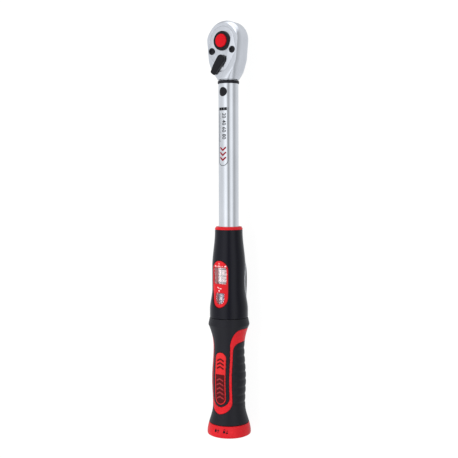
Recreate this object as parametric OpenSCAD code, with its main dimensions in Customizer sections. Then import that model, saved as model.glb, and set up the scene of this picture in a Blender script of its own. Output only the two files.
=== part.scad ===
// Click-type torque wrench with a reversible ratchet head, a windowed scale
// and a grip that is turned to set the torque.
// The tool's axis runs along +X, from the square drive to the grip's end.
// +Z points out of the face with the release button, and the drive points down.
// The origin is the centre of the square drive's end face.

/* [Drive and head] */
// Size of the square drive across its flats
drive_af = 12.7; // [12.5:0.1:12.8]
// Length of the square drive below the head
drive_len = 15; // [13:0.5:20]
// Radius of the head around the drive
head_r = 20.5; // [20:0.1:22]
// Distance that the head's end reaches beyond a circle around the drive
head_shift = 1.7; // [0:0.1:2.5]
// Distance that the head's face is drawn in from its widest outline
head_bulge = 0.8; // [0:0.1:1.2]
// Radius of the head around the lever
shoulder_r = 19; // [18.8:0.1:20]
// Distance from the drive's axis to the lever's axis
lever_x = 20.1; // [20.1:0.1:20.4]
// Thickness of the head
head_t = 24.4; // [24:0.2:28]
// Rounding of the head's lower edge
lower_fillet = 5.5; // [3:0.5:6]
// Rounding of the head's upper edge
upper_fillet = 1; // [0.6:0.2:2]
// Radius of the head's round neck
neck_r = 11.6; // [11:0.1:11.8]

/* [Ratchet] */
// Number of teeth on the drive gear
tooth_count = 48; // [36:12:60]
// Radius over the gear's teeth
gear_tip_r = 13; // [12.6:0.1:13.2]
// Depth of the gear's teeth
tooth_depth = 1.1; // [0.9:0.1:1.2]
// Height of the gear's toothed band
gear_h = 14; // [12:0.5:14.5]
// Angle that the pawl rocks each way from its middle
pawl_rock = 6; // [6:0.5:7]
// Angle that the lever turns each way from its middle
lever_throw = 36; // [30:2:40]
// Thickness of the cover plate
plate_t = 2.5; // [2:0.1:3]

/* [Quick release] */
// Radius of the release button
button_r = 7.4; // [7:0.1:7.6]
// Height of the button above the hub ring
button_proud = 1.8; // [1.5:0.1:3]
// Outside radius of the hub ring
hub_ring_r = 11; // [10.6:0.1:12]
// Travel of the button
button_travel = 3; // [2.5:0.1:3]
// Radius of the detent ball in the square drive
ball_r = 2.4; // [2.2:0.05:2.5]

/* [Lever] */
// Length of the lever from its axis to its tip
lever_len = 18.8; // [16:0.5:20]
// Width of the lever's tip
lever_tip_w = 8; // [6:0.5:9]
// Thickness of the lever
lever_t = 3.6; // [3:0.2:5]

/* [Tube] */
// Outside diameter of the tube
tube_d = 22; // [21.8:0.1:22.2]
// Inside diameter of the tube
tube_id = 18.4; // [18.2:0.1:18.6]
// Distance from the drive's axis to the tube's shoulder
tube_x = 45.2; // [45:0.5:48]
// Distance from the drive's axis to the pivot pin
pivot_x = 54.4; // [54:0.5:60]
// Diameter of the pivot pin
pivot_d = 10; // [8:0.5:11]
// Angle that the head tilts each way when the wrench clicks
click_angle = 1.5; // [1:0.1:1.6]
// Distance from the pivot pin to the end of the head's tang
tang_reach = 65.9; // [60:0.5:68]
// Diameter of the trip block
trip_d = 7.8; // [7:0.2:8.4]
// Wire diameter of the main spring
spring_wire = 3.1; // [2.6:0.1:3.2]

/* [Body sleeve] */
// Distance from the drive's axis to the sleeve's front edge
body_x = 201.5; // [195:0.5:205]
// Length of the sleeve
body_len = 100.5; // [100:0.5:103]
// Radius of the sleeve behind its front ring
body_front_r = 15.4; // [15:0.1:15.8]
// Radius of the sleeve at its window
body_mid_r = 18.5; // [17.9:0.1:19]
// Radius of the sleeve at the grip
body_rear_r = 21.25; // [20.5:0.05:21.5]
// Length of the red ring on the sleeve's front
body_ring_len = 4.5; // [3:0.5:6]

/* [Window] */
// Distance from the sleeve's front edge to the window frame
frame_offset = 36; // [35:0.5:37]
// Length of the window frame
frame_len = 52.6; // [52:0.2:54]
// Width of the window frame
frame_w = 20; // [19.6:0.2:21]
// Thickness of the window frame
frame_t = 2; // [1.8:0.1:2.4]
// Length of the main window
window_len = 18.5; // [17:0.5:19]
// Width of the main window
window_w = 14.4; // [13:0.2:14.6]
// Length of the fine scale's window
fine_len = 12; // [10:0.5:12]
// Width of the fine scale's window
fine_w = 9.6; // [8:0.2:10]
// Length of the cover on the sleeve's back
cover_len = 57; // [50:1:60]
// Width of the cover on the sleeve's back
cover_w = 33.6; // [30:0.2:34]

/* [Grip] */
// Gap between the sleeve and the turning grip
seam = 0.5; // [0.3:0.1:1]
// Length of the grip up to the lock ring
grip_len = 117.7; // [116:0.5:122]
// Radius of the grip's sharp crest
crest_r = 23; // [22:0.1:23.5]
// Radius of the grip's waist
waist_r = 17.3; // [16.6:0.1:17.5]
// Radius of the grip's swell
swell_r = 19; // [18.2:0.1:19.5]
// Radius of the grip before the end flare
tail_r = 18.15; // [17.5:0.05:18.5]
// Radius of the end flare
flare_r = 24.4; // [23.6:0.1:24.6]
// Thickness of the soft pads
pad_t = 2.2; // [1.8:0.1:2.4]
// Half the width of the front pad's tongue
tongue_w = 10.7; // [10:0.1:11]
// Width of the red stripe beside the tongue
stripe_w = 2.5; // [2:0.1:3]
// Width of the red panel in the tongue
panel_w = 13.5; // [12:0.5:14.5]
// Length of the red panel
panel_len = 57.8; // [50:0.2:58]
// Number of ribs on the rear pad
rib_count = 8; // [5:1:9]
// Depth of the grooves between the ribs
rib_depth = 0.8; // [0.4:0.1:1]
// Length of the lock ring
lock_len = 13.7; // [13:0.1:15]
// Travel of the lock ring
lock_travel = 5; // [3:0.5:6]

/* [Adjuster] */
// Advance of the spring nut for one turn of the grip
thread_pitch = 3; // [2:0.5:3]
// Number of turns from the lowest to the highest torque
turns = 8; // [6:1:8]
// Radius of the adjusting screw
screw_r = 5; // [4.6:0.1:5.2]
// Length of the spring nut
nut_len = 14; // [12:0.5:15]

/* [Fits] */
// Radial clearance of pieces that turn or slide in each other
run_fit = 0.05; // [0.02:0.01:0.08]
// Clearance between pieces that move past each other
gap = 0.3; // [0.2:0.05:0.3]

/* [Hidden] */
$fn = 96;

// Heights are counted from the tool's axis, which lies this far above the drive's end.
axis_h = head_t / 2 + drive_len;
head_top = head_t / 2;
head_bottom = -head_t / 2;

// Ratchet
gear_root_r = gear_tip_r - tooth_depth;
tooth_pitch = 360 / tooth_count;
gear_pocket_r = gear_tip_r + gap;
pocket_floor = -gear_h / 2 - gap;
pocket_top = head_top - plate_t;
journal_r = 10.5;
hub_r = 9.4;
hub_neck_r = 8.8;
hub_ring_h = 1.5;
plate_gap = 0.1;
spindle_r = 3.2;
pawl_reach = 10.2;
pawl_swing_r = 13.8;
pawl_room = 1.2;
pawl_outer_r = 18;
pawl_boss_r = 6.8;
mesh_clearance = 0.12;
plate_r = 15.5;
screw_x = 10.4;
screw_y = 13.3;
screw_head_r = 3.5;
screw_shank_r = 1.5;
screw_proud = 1;
screw_len = 8;
ear_r = 4.8;

// Quick release
button_top = head_top + plate_gap + hub_ring_h + button_proud;
button_skirt = 7.4;
button_floor = button_top - button_skirt;
button_bore_r = button_r + 0.2;
button_cavity_r = button_r - 1.2;
button_roof = 2;
button_room = button_floor - button_travel - 3.3;
ball_z = head_bottom - drive_len / 2;
ball_x = drive_af / 2 - 1.4;
rod_r = ball_x - ball_r - run_fit;
rod_groove_r = rod_r - 1;
rod_tip = ball_z - 1.5;
rod_bore_end = rod_tip - button_travel - 0.4;

// Tube and trip train
tube_r = tube_d / 2;
tube_ir = tube_id / 2;
pivot_r = pivot_d / 2;
tang_r = tube_ir - 0.6;
neck_end = tube_x - 4.2;
tube_nose_r = tube_r - 0.8;
seal_len = 3.7;
tang_end = pivot_x + tang_reach;
arm_x = pivot_x + pivot_r + 7;
arm_r = tube_ir - tang_reach * sin(click_angle) - 0.8;
trip_x = tang_end + gap + trip_d / 2;
trip_pivot_x = trip_x + trip_d / 2 + gap;
trip_h = 10;
plunger_x = trip_pivot_x;
plunger_len = 21;
plunger_nose_len = 6;
spring_x = plunger_x + plunger_len;

// Body sleeve
body_end = body_x + body_len;
body_bore_r = tube_r;
frame_x = body_x + frame_offset;
frame_r = frame_w / 2;
window_x = frame_x + 7.8;
window_end = window_x + window_len;
fine_margin = 4.1;
fine_x = frame_x + frame_len - fine_margin - fine_len;
frame_proud = 0.3;
lens_t = 1.2;
cover_x = frame_x + 23.5;
cover_proud = 0.6;
cover_t = 2;

// Adjuster and scale
nut_travel = thread_pitch * turns;
slider_x = window_x - 1.8;
slider_end = window_end + nut_travel + 2.2;
slider_ir = tube_r + gap;
slider_or = slider_ir + 1.3;
slider_w = window_w - 1;
key_w = 5;
key_len = 6;
key_x = slider_x + 4.5;
nut_x = key_x - 4;
drum_ir = slider_or + 0.4;
drum_or = drum_ir + 1.4;
drum_x = fine_x - 3;
screw_x0 = nut_x - nut_travel - 4;
flange_x = nut_x + nut_len + 48;
flange_len = 4;
flange_r = tube_ir - 1;
bearing_x = flange_x + flange_len + 0.1;
washer_t = 1.5;
race_ball_r = 1.5;
race_r = 6.6;
race_balls = 8;
bush_x = bearing_x + 2 * washer_t + 2 * race_ball_r + 0.2;
bush_len = 14;
shank_r = screw_r - 1;

// Grip
grip_x = body_end + seam;
grip_end = grip_x + grip_len;
crest_x = grip_x + 7.6;
waist_x = crest_x + 25.9;
swell_x = waist_x + 35;
tail_x = grip_end - 22;
collar_end = crest_x + 3.4;
band_end = collar_end + 15.8;
tongue_end = grip_end - 19.6;
stripe_end = tongue_end + 8.5;
tongue_root = collar_end + 18.5;
stripe_root = band_end + 11.5;
sweep_r = 21;
panel_x = grip_end - 80.4;
panel_proud = 0.25;
rib_x = waist_x + 1;
rib_pitch = 8.6;
groove_w = 1.8;
grip_bore_r = tube_r + run_fit + 0.02;
drum_seat = grip_x + 9.5;
tube_end = grip_end - 5.2;
web_x = tube_end + gap;
ring_x = grip_end + gap;
ring_end = ring_x + lock_len;
spigot_r = 15.2;
spigot_end = ring_end - 3;
plug_t = 1.5;
snap_w = 1.2;
snap_x = ring_x + lock_travel - 1;
plug_r = 11;
plug_x = grip_end + 6;

// ---------- curves ----------

// A soft S from 0 to 1.
function ease(t) = t * t * (3 - 2 * t);

// Points [x, r] of a soft S from one radius to another.
function swell(x0, r0, x1, r1, steps = 8) =
    [for (i = [0:steps]) let (t = i / steps) [x0 + (x1 - x0) * t, r0 + (r1 - r0) * ease(t)]];

// Points [x, r] of a hollow that starts steep and ends level.
function hollow(x0, r0, x1, r1, steps = 8) =
    [for (i = [0:steps]) let (t = i / steps) [x0 + (x1 - x0) * t, r1 + (r0 - r1) * pow(1 - t, 2)]];

// Points of a quarter curve that sweeps in from the grip's side to a straight edge.
function sweep_in(x0, y0, x1, y1, steps = 9) =
    [for (i = [0:steps]) let (t = i / steps)
        [x0 + (x1 - x0) * t, y0 - (y0 - y1) * pow(1 - pow(1 - t, 1.5), 1 / 1.5)]];

function thicken(points, by) = [for (p = points) [p[0], p[1] + by]];

body_profile = concat(
    [[body_x + 2.5, body_front_r]],
    swell(body_x + 5.5, body_front_r, body_x + 44.5, body_mid_r),
    swell(body_end - 32, body_mid_r, body_end - 8, body_rear_r),
    [[body_end, body_rear_r + 0.05]]);

// The flare runs from the grip into the lock ring.
flare_x0 = tail_x + 3.5;
flare_x1 = ring_end - 2.6;
function flare_at(x) = tail_r + (flare_r - tail_r) * ease((x - flare_x0) / (flare_x1 - flare_x0));
flare_profile = [for (i = [0:12]) let (x = flare_x0 + (flare_x1 - flare_x0) * i / 12) [x, flare_at(x)]];

grip_profile = concat(
    [[grip_x, body_rear_r + 0.05]],
    hollow(crest_x, crest_r, waist_x, waist_r),
    swell(waist_x + 1, waist_r, swell_x, swell_r),
    swell(tail_x - 25, swell_r, tail_x, tail_r, 5),
    [for (p = flare_profile) if (p[0] < grip_end - 0.01) p],
    [[grip_end, flare_at(grip_end)]]);

// ---------- helpers ----------

// Everything is drawn around the tool's axis and lifted onto the drive's end.
module on_axis() {
    translate([0, 0, axis_h]) children();
}

// A round bar along the tool's axis.
module bar(x0, x1, r) {
    translate([x0, 0, 0]) rotate([0, 90, 0]) cylinder(h = x1 - x0, r = r);
}

// A solid of revolution around the tool's axis, from points [x, r].
module turned(points) {
    first = points[0];
    last = points[len(points) - 1];
    rotate([0, 90, 0])
        rotate_extrude()
            polygon(concat([[0, first[0]]], [for (p = points) [p[1], p[0]]], [[0, last[0]]]));
}

// An upright round post.
module post(z0, z1, r) {
    translate([0, 0, z0]) cylinder(h = z1 - z0, r = r);
}

// A long rounded outline that lies along the tool.
module slot_outline(x0, x1, r) {
    translate([x0 + r, -r]) square([x1 - x0 - 2 * r, 2 * r]);
    translate([x0 + r, 0]) circle(r);
    translate([x1 - r, 0]) circle(r);
}

// A rectangle with rounded corners, from x0 to x1 and centred on the axis.
module rounded_outline(x0, x1, w, r) {
    translate([x0 + r, -w / 2]) square([x1 - x0 - 2 * r, w]);
    translate([x0, -w / 2 + r]) square([x1 - x0, w - 2 * r]);
    for (x = [x0 + r, x1 - r], side = [-1, 1])
        translate([x, side * (w / 2 - r)]) circle(r);
}

// Turns an outline into a solid that cuts the upper half of the tool.
module upper(height = 40) {
    linear_extrude(height) children();
}

// Turns an outline into a solid that cuts the lower half of the tool.
module lower(height = 40) {
    translate([0, 0, -height]) linear_extrude(height) children();
}

// A round wire wound around the vertical axis, from z0 to z1.
module coil(z0, z1, coil_r, wire_r, winds, per_turn = 14, sides = 6) {
    rings = winds * per_turn;
    points = [for (i = [0:rings], k = [0:sides - 1])
        let (a = 360 * i / per_turn, b = 360 * k / sides,
             z = z0 + wire_r + (z1 - z0 - 2 * wire_r) * i / rings,
             r = coil_r + wire_r * cos(b))
        [r * cos(a), r * sin(a), z + wire_r * sin(b)]];
    walls = [for (i = [0:rings - 1], k = [0:sides - 1])
        let (m = (k + 1) % sides)
        [i * sides + k, (i + 1) * sides + k, (i + 1) * sides + m, i * sides + m]];
    start = [for (k = [0:sides - 1]) k];
    finish = [for (k = [sides - 1:-1:0]) rings * sides + k];
    polyhedron(points, concat([start], walls, [finish]), convexity = 10);
}

// ---------- ratchet head ----------

// Half of the head's cross-section, from its axis out to r, with rounded edges.
module head_section(r) {
    low = [r - lower_fillet, head_bottom + lower_fillet];
    high = [r - head_bulge - upper_fillet, head_top - upper_fillet];
    polygon(concat(
        [[0, head_bottom]],
        [for (i = [0:6]) low + lower_fillet * [sin(15 * i), -cos(15 * i)]],
        [for (t = [0:0.25:0.75]) [r - head_bulge * t * t, t * high[1]]],
        [for (i = [0:3]) high + upper_fillet * [cos(30 * i), sin(30 * i)]],
        [[0, head_top]]));
}

// A round of the head with rounded edges, on an upright axis at x.
module head_round(x, r) {
    translate([x, 0, 0]) rotate_extrude($fn = 48) head_section(r);
}

shoulder_x = lever_x - 3.3;

// The cone that draws the thick head down to the round neck.
module neck_form() {
    turned([[0, 2.5 * head_r], [neck_end - 17.2, neck_r + 11.3], [neck_end - 13.5, neck_r + 8.4],
            [neck_end - 7, neck_r + 4.6], [neck_end, neck_r]]);
}

module head_outside() {
    intersection() {
        union() {
            hull() {
                head_round(-head_shift, head_r);
                head_round(shoulder_x, shoulder_r);
            }
            hull() {
                head_round(shoulder_x, shoulder_r);
                head_round(neck_end, neck_r);
            }
        }
        union() {
            translate([-2 * head_r, -2 * head_r, -head_t]) cube([2 * head_r, 4 * head_r, 2 * head_t]);
            neck_form();
        }
    }
}

// Outline of the cover plate, grown by a clearance.
module plate_outline(grow = 0) {
    hull() {
        circle(plate_r + grow, $fn = 64);
        for (side = [-1, 1])
            translate([screw_x, side * screw_y]) circle(ear_r + grow, $fn = 32);
        translate([lever_x + 4, 0]) circle(8 + grow, $fn = 32);
    }
}

// Room for the pawl to rock behind the gear.
module pawl_pocket() {
    side = pawl_reach + pawl_room;
    intersection() {
        circle(pawl_outer_r + 1.3);
        translate([lever_x, 0]) circle(pawl_swing_r + gap);
        translate([8, -side]) square([14, 2 * side]);
    }
    translate([lever_x, 0]) circle(pawl_boss_r + 0.4);
}

module ratchet_head() {
    color("silver") on_axis() difference() {
        union() {
            head_outside();
            bar(neck_end - 1, arm_x, tang_r);
            bar(arm_x - 1, tang_end, arm_r);
        }
        translate([0, 0, pocket_top]) linear_extrude(head_t) plate_outline(0.05);
        post(pocket_floor, head_t, gear_pocket_r);
        translate([0, 0, pocket_floor]) linear_extrude(head_t) pawl_pocket();
        post(-head_t, head_t, journal_r + run_fit);
        translate([lever_x, 0, 0]) post(pocket_floor - 2.4, head_t, spindle_r + run_fit);
        for (side = [-1, 1])
            translate([screw_x, side * screw_y, 0])
                post(head_top - screw_len, head_t, screw_shank_r);
        translate([pivot_x, 0, 0]) post(-head_t, head_t, pivot_r + run_fit);
    }
}

module cover_plate() {
    color("silver") on_axis() difference() {
        translate([0, 0, pocket_top]) linear_extrude(plate_t) plate_outline();
        post(pocket_top - 1, head_t, hub_r + run_fit);
        translate([lever_x, 0, 0]) post(pocket_top - 1, head_t, spindle_r + run_fit);
        for (side = [-1, 1])
            translate([screw_x, side * screw_y, 0]) post(pocket_top - 1, head_t, screw_shank_r);
    }
}

// Two socket screws that hold the cover plate.
module cover_screws() {
    color("black") on_axis()
        for (side = [-1, 1])
            translate([screw_x, side * screw_y, 0]) difference() {
                union() {
                    post(head_top - screw_len + 0.5, head_top, screw_shank_r);
                    post(head_top, head_top + screw_proud - 0.4, screw_head_r);
                    translate([0, 0, head_top + screw_proud - 0.4])
                        cylinder(h = 0.4, r1 = screw_head_r, r2 = screw_head_r - 0.5);
                }
                translate([0, 0, head_top - 0.6]) cylinder(h = 3, r = 1.7, $fn = 6);
            }
}

// ---------- drive and quick release ----------

// The gear's outline. Its teeth can be grown by a clearance.
module gear_outline() {
    root_half = 0.44 * tooth_pitch;
    tip_half = 0.12 * tooth_pitch;
    polygon([for (i = [0:tooth_count - 1], k = [0:3])
        let (a = i * tooth_pitch + [-root_half, -tip_half, tip_half, root_half][k],
             r = [gear_root_r, gear_tip_r, gear_tip_r, gear_root_r][k])
        [r * cos(a), r * sin(a)]]);
}

// The square drive with rounded edges and a bevelled end.
module square_drive() {
    edge_r = 0.68 * drive_af;
    intersection() {
        translate([-drive_af / 2, -drive_af / 2, head_bottom - drive_len])
            cube([drive_af, drive_af, drive_len + 1]);
        union() {
            post(head_bottom - drive_len + 1.5, head_bottom + 1, edge_r);
            translate([0, 0, head_bottom - drive_len]) cylinder(h = 1.5, r1 = edge_r - 1.2, r2 = edge_r);
        }
    }
}

module drive_gear() {
    color("gainsboro") on_axis() difference() {
        union() {
            translate([0, 0, -gear_h / 2]) linear_extrude(gear_h) gear_outline();
            post(gear_h / 2 - 1, pocket_top - gap, gear_root_r - 1);
            post(gear_h / 2 - 1, head_top + plate_gap, hub_r);
            post(gear_h / 2 - 1, head_top + plate_gap + hub_ring_h - 0.5, hub_neck_r);
            post(head_bottom, 0, journal_r);
            square_drive();
        }
        post(button_room, head_t, button_bore_r);
        post(rod_bore_end, head_t, rod_r + run_fit);
        translate([rod_r - 0.4, 0, ball_z]) rotate([0, 90, 0]) cylinder(h = drive_af, r = ball_r + run_fit);
    }
}

// The black ring around the button, pressed on the drive's hub.
module hub_ring() {
    base = head_top + plate_gap;
    color("black") on_axis() translate([0, 0, base]) rotate_extrude()
        polygon([[hub_neck_r, 0], [hub_ring_r, 0], [hub_ring_r, hub_ring_h - 0.7],
                 [hub_ring_r - 0.7, hub_ring_h], [button_bore_r + 0.4, hub_ring_h],
                 [button_bore_r + 0.4, hub_ring_h - 0.45], [hub_neck_r, hub_ring_h - 0.45]]);
}

module release_button() {
    color("red") on_axis() difference() {
        rotate_extrude() polygon([
            [0, button_floor], [button_r, button_floor], [button_r, button_top - 0.9],
            [button_r - 0.35, button_top - 0.35], [button_r - 1.2, button_top], [0, button_top + 0.1]]);
        post(button_floor - 1, button_top - button_roof, button_cavity_r);
    }
}

// The rod below the button. Its groove lets the ball drop in when the button is pressed.
module release_rod() {
    color("dimgray") on_axis() translate([0, 0, ball_z]) rotate_extrude() polygon([
        [0, rod_tip - ball_z], [rod_r, rod_tip - ball_z], [rod_r, -0.3],
        [rod_groove_r + 0.15, 2.25], [rod_groove_r, 2.4], [rod_groove_r, button_travel + 1.2],
        [rod_r, button_travel + 2.4], [rod_r, button_top - button_roof - ball_z],
        [0, button_top - button_roof - ball_z]]);
}

module release_spring() {
    color("darkgray") on_axis()
        coil(button_room + 0.1, button_top - button_roof - 0.1, 4.4, 0.45, 5);
}

module detent_ball() {
    color("silver") on_axis() translate([ball_x, 0, ball_z]) sphere(ball_r);
}

// ---------- pawl and lever ----------

pawl_start = -pawl_rock;
lever_start = -lever_throw;

// Half the angle of the gap between two gear teeth, at radius r.
function gap_half(r) = tooth_pitch * (0.06 + 0.32 * (r - gear_root_r) / tooth_depth);

// One pawl tooth that fills the gap at the given angle of the gear.
module pawl_tooth(angle) {
    inner = gear_root_r + 0.4 * tooth_depth;
    outer = gear_tip_r + 0.35;
    polygon([for (p = [[inner, -1], [outer, -1], [outer, 1], [inner, 1]])
        let (a = angle + p[1] * (gap_half(p[0]) - asin(mesh_clearance / p[0])))
        p[0] * [cos(a), sin(a)]]);
}

// Turns what follows around the lever's axis.
module rock(angle) {
    translate([lever_x, 0]) rotate(angle) translate([-lever_x, 0]) children();
}

// The pawl in its middle place, with teeth at both ends that mesh when it rocks.
module pawl_outline() {
    gaps = [for (i = [0:tooth_count]) (i + 0.5) * tooth_pitch];
    intersection() {
        translate([lever_x, 0]) circle(pawl_swing_r);
        union() {
            difference() {
                union() {
                    intersection() {
                        circle(pawl_outer_r);
                        translate([8.5, -pawl_reach]) square([12, 2 * pawl_reach]);
                    }
                    translate([lever_x, 0]) circle(pawl_boss_r);
                }
                for (a = [-1:0.5:1]) rock(a * pawl_rock) circle(gear_tip_r + mesh_clearance);
            }
            for (side = [-1, 1])
                for (a = gaps)
                    if (a > 25 && a < 43) rock(-side * pawl_rock) pawl_tooth(side * a);
        }
    }
}

module pawl() {
    z0 = -gear_h / 2 + 0.1;
    color("slategray") on_axis()
        translate([lever_x, 0, 0]) rotate([0, 0, pawl_start]) translate([-lever_x, 0, 0])
            difference() {
                translate([0, 0, z0]) linear_extrude(gear_h - 0.1) pawl_outline();
                translate([lever_x, 0, 0]) post(-head_t, head_t, spindle_r + run_fit);
                translate([lever_x, 0, -1.6]) linear_extrude(3.2) detent_room();
            }
}

// Room behind the spindle for the detent pin to swing past the pawl.
module detent_room() {
    intersection() {
        circle(5.3);
        polygon([[0, 0], [8, -9], [8, 9]]);
    }
}

module lever_detent_pin() {
    color("gold") on_axis()
        translate([lever_x, 0, 0]) rotate([0, 0, lever_start]) {
            rotate([0, 90, 0]) cylinder(h = 3.8, r = 1.1);
            translate([3.8, 0, 0]) sphere(1.1);
        }
}

// Side view of the lever's arm, along its length.
module lever_arm_side() {
    polygon([[0, 0], [lever_len, 0], [lever_len, 0.55 * lever_t], [lever_len - 1.2, 0.9 * lever_t],
             [lever_len - 4, lever_t], [4, 0.85 * lever_t], [0, 0.85 * lever_t]]);
}

module lever_arm_plan() {
    tip = lever_tip_w / 2;
    flare = 0.75 * lever_tip_w;
    cut = 0.2 * lever_tip_w;
    polygon([[0, -spindle_r], [lever_len - flare, -tip], [lever_len - cut, -tip], [lever_len, cut - tip],
             [lever_len, tip - cut], [lever_len - cut, tip], [lever_len - flare, tip], [0, spindle_r]]);
}

module reversing_lever() {
    base = head_top + 0.15;
    color("black") on_axis()
        translate([lever_x, 0, 0]) rotate([0, 0, lever_start]) difference() {
            union() {
                post(base, base + lever_t - 0.6, 5);
                translate([0, 0, base + lever_t - 0.6]) cylinder(h = 0.6, r1 = 5, r2 = 4.4);
                intersection() {
                    translate([0, 20, base]) rotate([90, 0, 0]) linear_extrude(40) lever_arm_side();
                    linear_extrude(2 * head_t) lever_arm_plan();
                }
                post(pocket_floor - 2.2, base + 0.5, spindle_r);
            }
            rotate([0, 90, 0]) cylinder(h = 4, r = 1.1 + run_fit);
        }
}

// ---------- tube and trip train ----------

module neck_seal() {
    lip = tube_x - 2.9;
    color("black") on_axis() difference() {
        turned([[tube_x - seal_len, tube_r + 0.2], [tube_x - seal_len + 0.6, tube_r + 0.8],
                [tube_x, tube_r + 0.8]]);
        bar(0, 2 * tube_x, tube_ir);
        bar(lip, 2 * tube_x, tube_nose_r);
    }
}

// The head's pivot, ground flush with the tube.
module pivot_pin() {
    color("black") on_axis() intersection() {
        translate([pivot_x, 0, 0]) post(-tube_d, tube_d, pivot_r);
        bar(tube_x, pivot_x + 2 * pivot_d, tube_r);
    }
}

module tube() {
    color("gainsboro") on_axis() difference() {
        union() {
            bar(tube_x - 2.9, tube_x + 1, tube_nose_r);
            bar(tube_x, tube_end, tube_r);
        }
        bar(0, tube_end + 1, tube_ir);
        translate([pivot_x, 0, 0]) post(-head_t, head_t, pivot_r);
        translate([key_x - nut_travel - 0.5, -key_w / 2 - 0.1, 0])
            cube([key_len + nut_travel + 1, key_w + 0.2, 2 * tube_r]);
    }
}

// The block that stands between the tang and the plunger and tips over at the click.
module trip_block() {
    color("silver") on_axis() translate([trip_x, 0, -trip_h / 2])
        linear_extrude(trip_h) intersection() {
            circle(d = trip_d);
            square([2 * trip_d, 0.85 * trip_d], center = true);
        }
}

module plunger() {
    color("silver") on_axis() {
        turned([[plunger_x, tube_ir - 2], [plunger_x + 1, tube_ir - run_fit],
                [spring_x, tube_ir - run_fit]]);
        bar(spring_x - 1, spring_x + plunger_nose_len, screw_r - 0.1);
    }
}

module main_spring() {
    color("dimgray") on_axis() rotate([0, 90, 0])
        coil(spring_x + 0.1, nut_x - 0.1, screw_r + 0.35 + spring_wire / 2, spring_wire / 2, 14);
}

// ---------- adjuster and scale ----------

module spring_nut() {
    color("goldenrod") on_axis() difference() {
        bar(nut_x, nut_x + nut_len, tube_ir - run_fit);
        bar(nut_x - 1, nut_x + nut_len + 1, screw_r + run_fit);
        translate([key_x, -key_w / 2, screw_r + 1.5]) cube([key_len, key_w, tube_r]);
    }
}

// The curved plate that carries the main scale, with its key in the nut.
module scale_slider() {
    color("white") on_axis() {
        intersection() {
            difference() {
                bar(slider_x, slider_end, slider_or);
                bar(slider_x - 1, slider_end + 1, slider_ir);
            }
            translate([slider_x, -slider_w / 2, 0]) cube([slider_end, slider_w, 2 * slider_or]);
        }
        translate([key_x, -key_w / 2, screw_r + 1.5]) cube([key_len, key_w, slider_ir - screw_r - 1]);
    }
}

module adjusting_screw() {
    color("silver") on_axis() {
        turned([[screw_x0, screw_r - 1], [screw_x0 + 1, screw_r], [flange_x + 1, screw_r]]);
        bar(flange_x, flange_x + flange_len, flange_r);
        bar(flange_x + 1, grip_end - 0.5, shank_r);
    }
}

// Two washers with a ring of balls between them.
module thrust_bearing() {
    back = bearing_x + washer_t + 2 * race_ball_r + 0.1;
    color("silver") on_axis() {
        for (x = [bearing_x, back]) difference() {
            bar(x, x + washer_t, flange_r);
            bar(x - 1, x + washer_t + 1, shank_r + 0.3);
        }
        for (i = [0:race_balls - 1])
            rotate([360 * i / race_balls, 0, 0])
                translate([bearing_x + washer_t + race_ball_r + 0.05, 0, race_r]) sphere(race_ball_r);
    }
}

module screw_bush() {
    color("goldenrod") on_axis() difference() {
        bar(bush_x, bush_x + bush_len, tube_ir);
        bar(bush_x - 1, bush_x + bush_len + 1, shank_r + run_fit);
    }
}

// ---------- body sleeve ----------

module frame_outline(grow = 0) {
    slot_outline(frame_x - grow, frame_x + frame_len + grow, frame_r + grow);
}

module window_outline() {
    rounded_outline(window_x, window_end, window_w, 2.2);
}

// The fine window is straight at the front and round at the back.
module fine_outline() {
    translate([fine_x, -fine_w / 2]) square([fine_len - fine_w / 2, fine_w]);
    translate([fine_x + fine_len - fine_w / 2, 0]) circle(fine_w / 2);
}

// An oval across the sleeve's back.
module cover_outline() {
    steps = 40;
    polygon([for (i = [0:steps - 1]) let (a = 360 * i / steps)
        [cover_x + cover_len / 2 * cos(a), cover_w / 2 * sin(a)]]);
}

module body_shell() {
    color("dimgray") on_axis() difference() {
        turned(concat([[body_x + body_ring_len, body_front_r]],
                      [for (p = body_profile) if (p[0] > body_x + body_ring_len + 0.01) p]));
        bar(0, body_end + 1, body_bore_r);
        bar(drum_x - gap, body_end + 1, drum_or + gap);
        // Room for the scale slider
        intersection() {
            bar(slider_x - nut_travel - 0.5, drum_x, slider_or + 0.2);
            upper() translate([body_x, -slider_w / 2 - 0.3]) square([body_len, slider_w + 0.6]);
        }
        upper() window_outline();
        upper() fine_outline();
        // Seat of the window frame
        difference() {
            upper() frame_outline();
            turned(thicken(body_profile, -frame_t));
        }
        // Seat of the rear cover
        difference() {
            lower() cover_outline();
            turned(thicken(body_profile, cover_proud - cover_t));
        }
    }
}

module body_ring() {
    color("red") on_axis() difference() {
        turned([[body_x, body_front_r - 1.2], [body_x + 2.5, body_front_r],
                [body_x + body_ring_len, body_front_r]]);
        bar(0, body_end, tube_r);
    }
}

module window_frame() {
    color("red") on_axis() difference() {
        intersection() {
            upper() frame_outline();
            turned(thicken(body_profile, frame_proud));
        }
        turned(thicken(body_profile, -frame_t));
        upper() window_outline();
        upper() fine_outline();
    }
}

// A clear pane that follows the sleeve's curve.
module pane() {
    difference() {
        intersection() {
            upper() children();
            turned(thicken(body_profile, -0.3));
        }
        turned(thicken(body_profile, -0.3 - lens_t));
    }
}

module main_lens() {
    color("white", 0.4) on_axis() pane() window_outline();
}

module fine_lens() {
    color("white", 0.4) on_axis() pane() fine_outline();
}

module rear_cover() {
    color("gray") on_axis() difference() {
        intersection() {
            lower() cover_outline();
            turned(thicken(body_profile, cover_proud));
        }
        turned(thicken(body_profile, cover_proud - cover_t));
    }
}

// The fine scale's drum, which turns with the grip.
module scale_drum() {
    color("lightgray") on_axis() difference() {
        bar(drum_x, drum_seat, drum_or);
        bar(drum_x - 1, drum_seat + 1, drum_ir);
    }
}

// ---------- grip ----------

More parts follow.
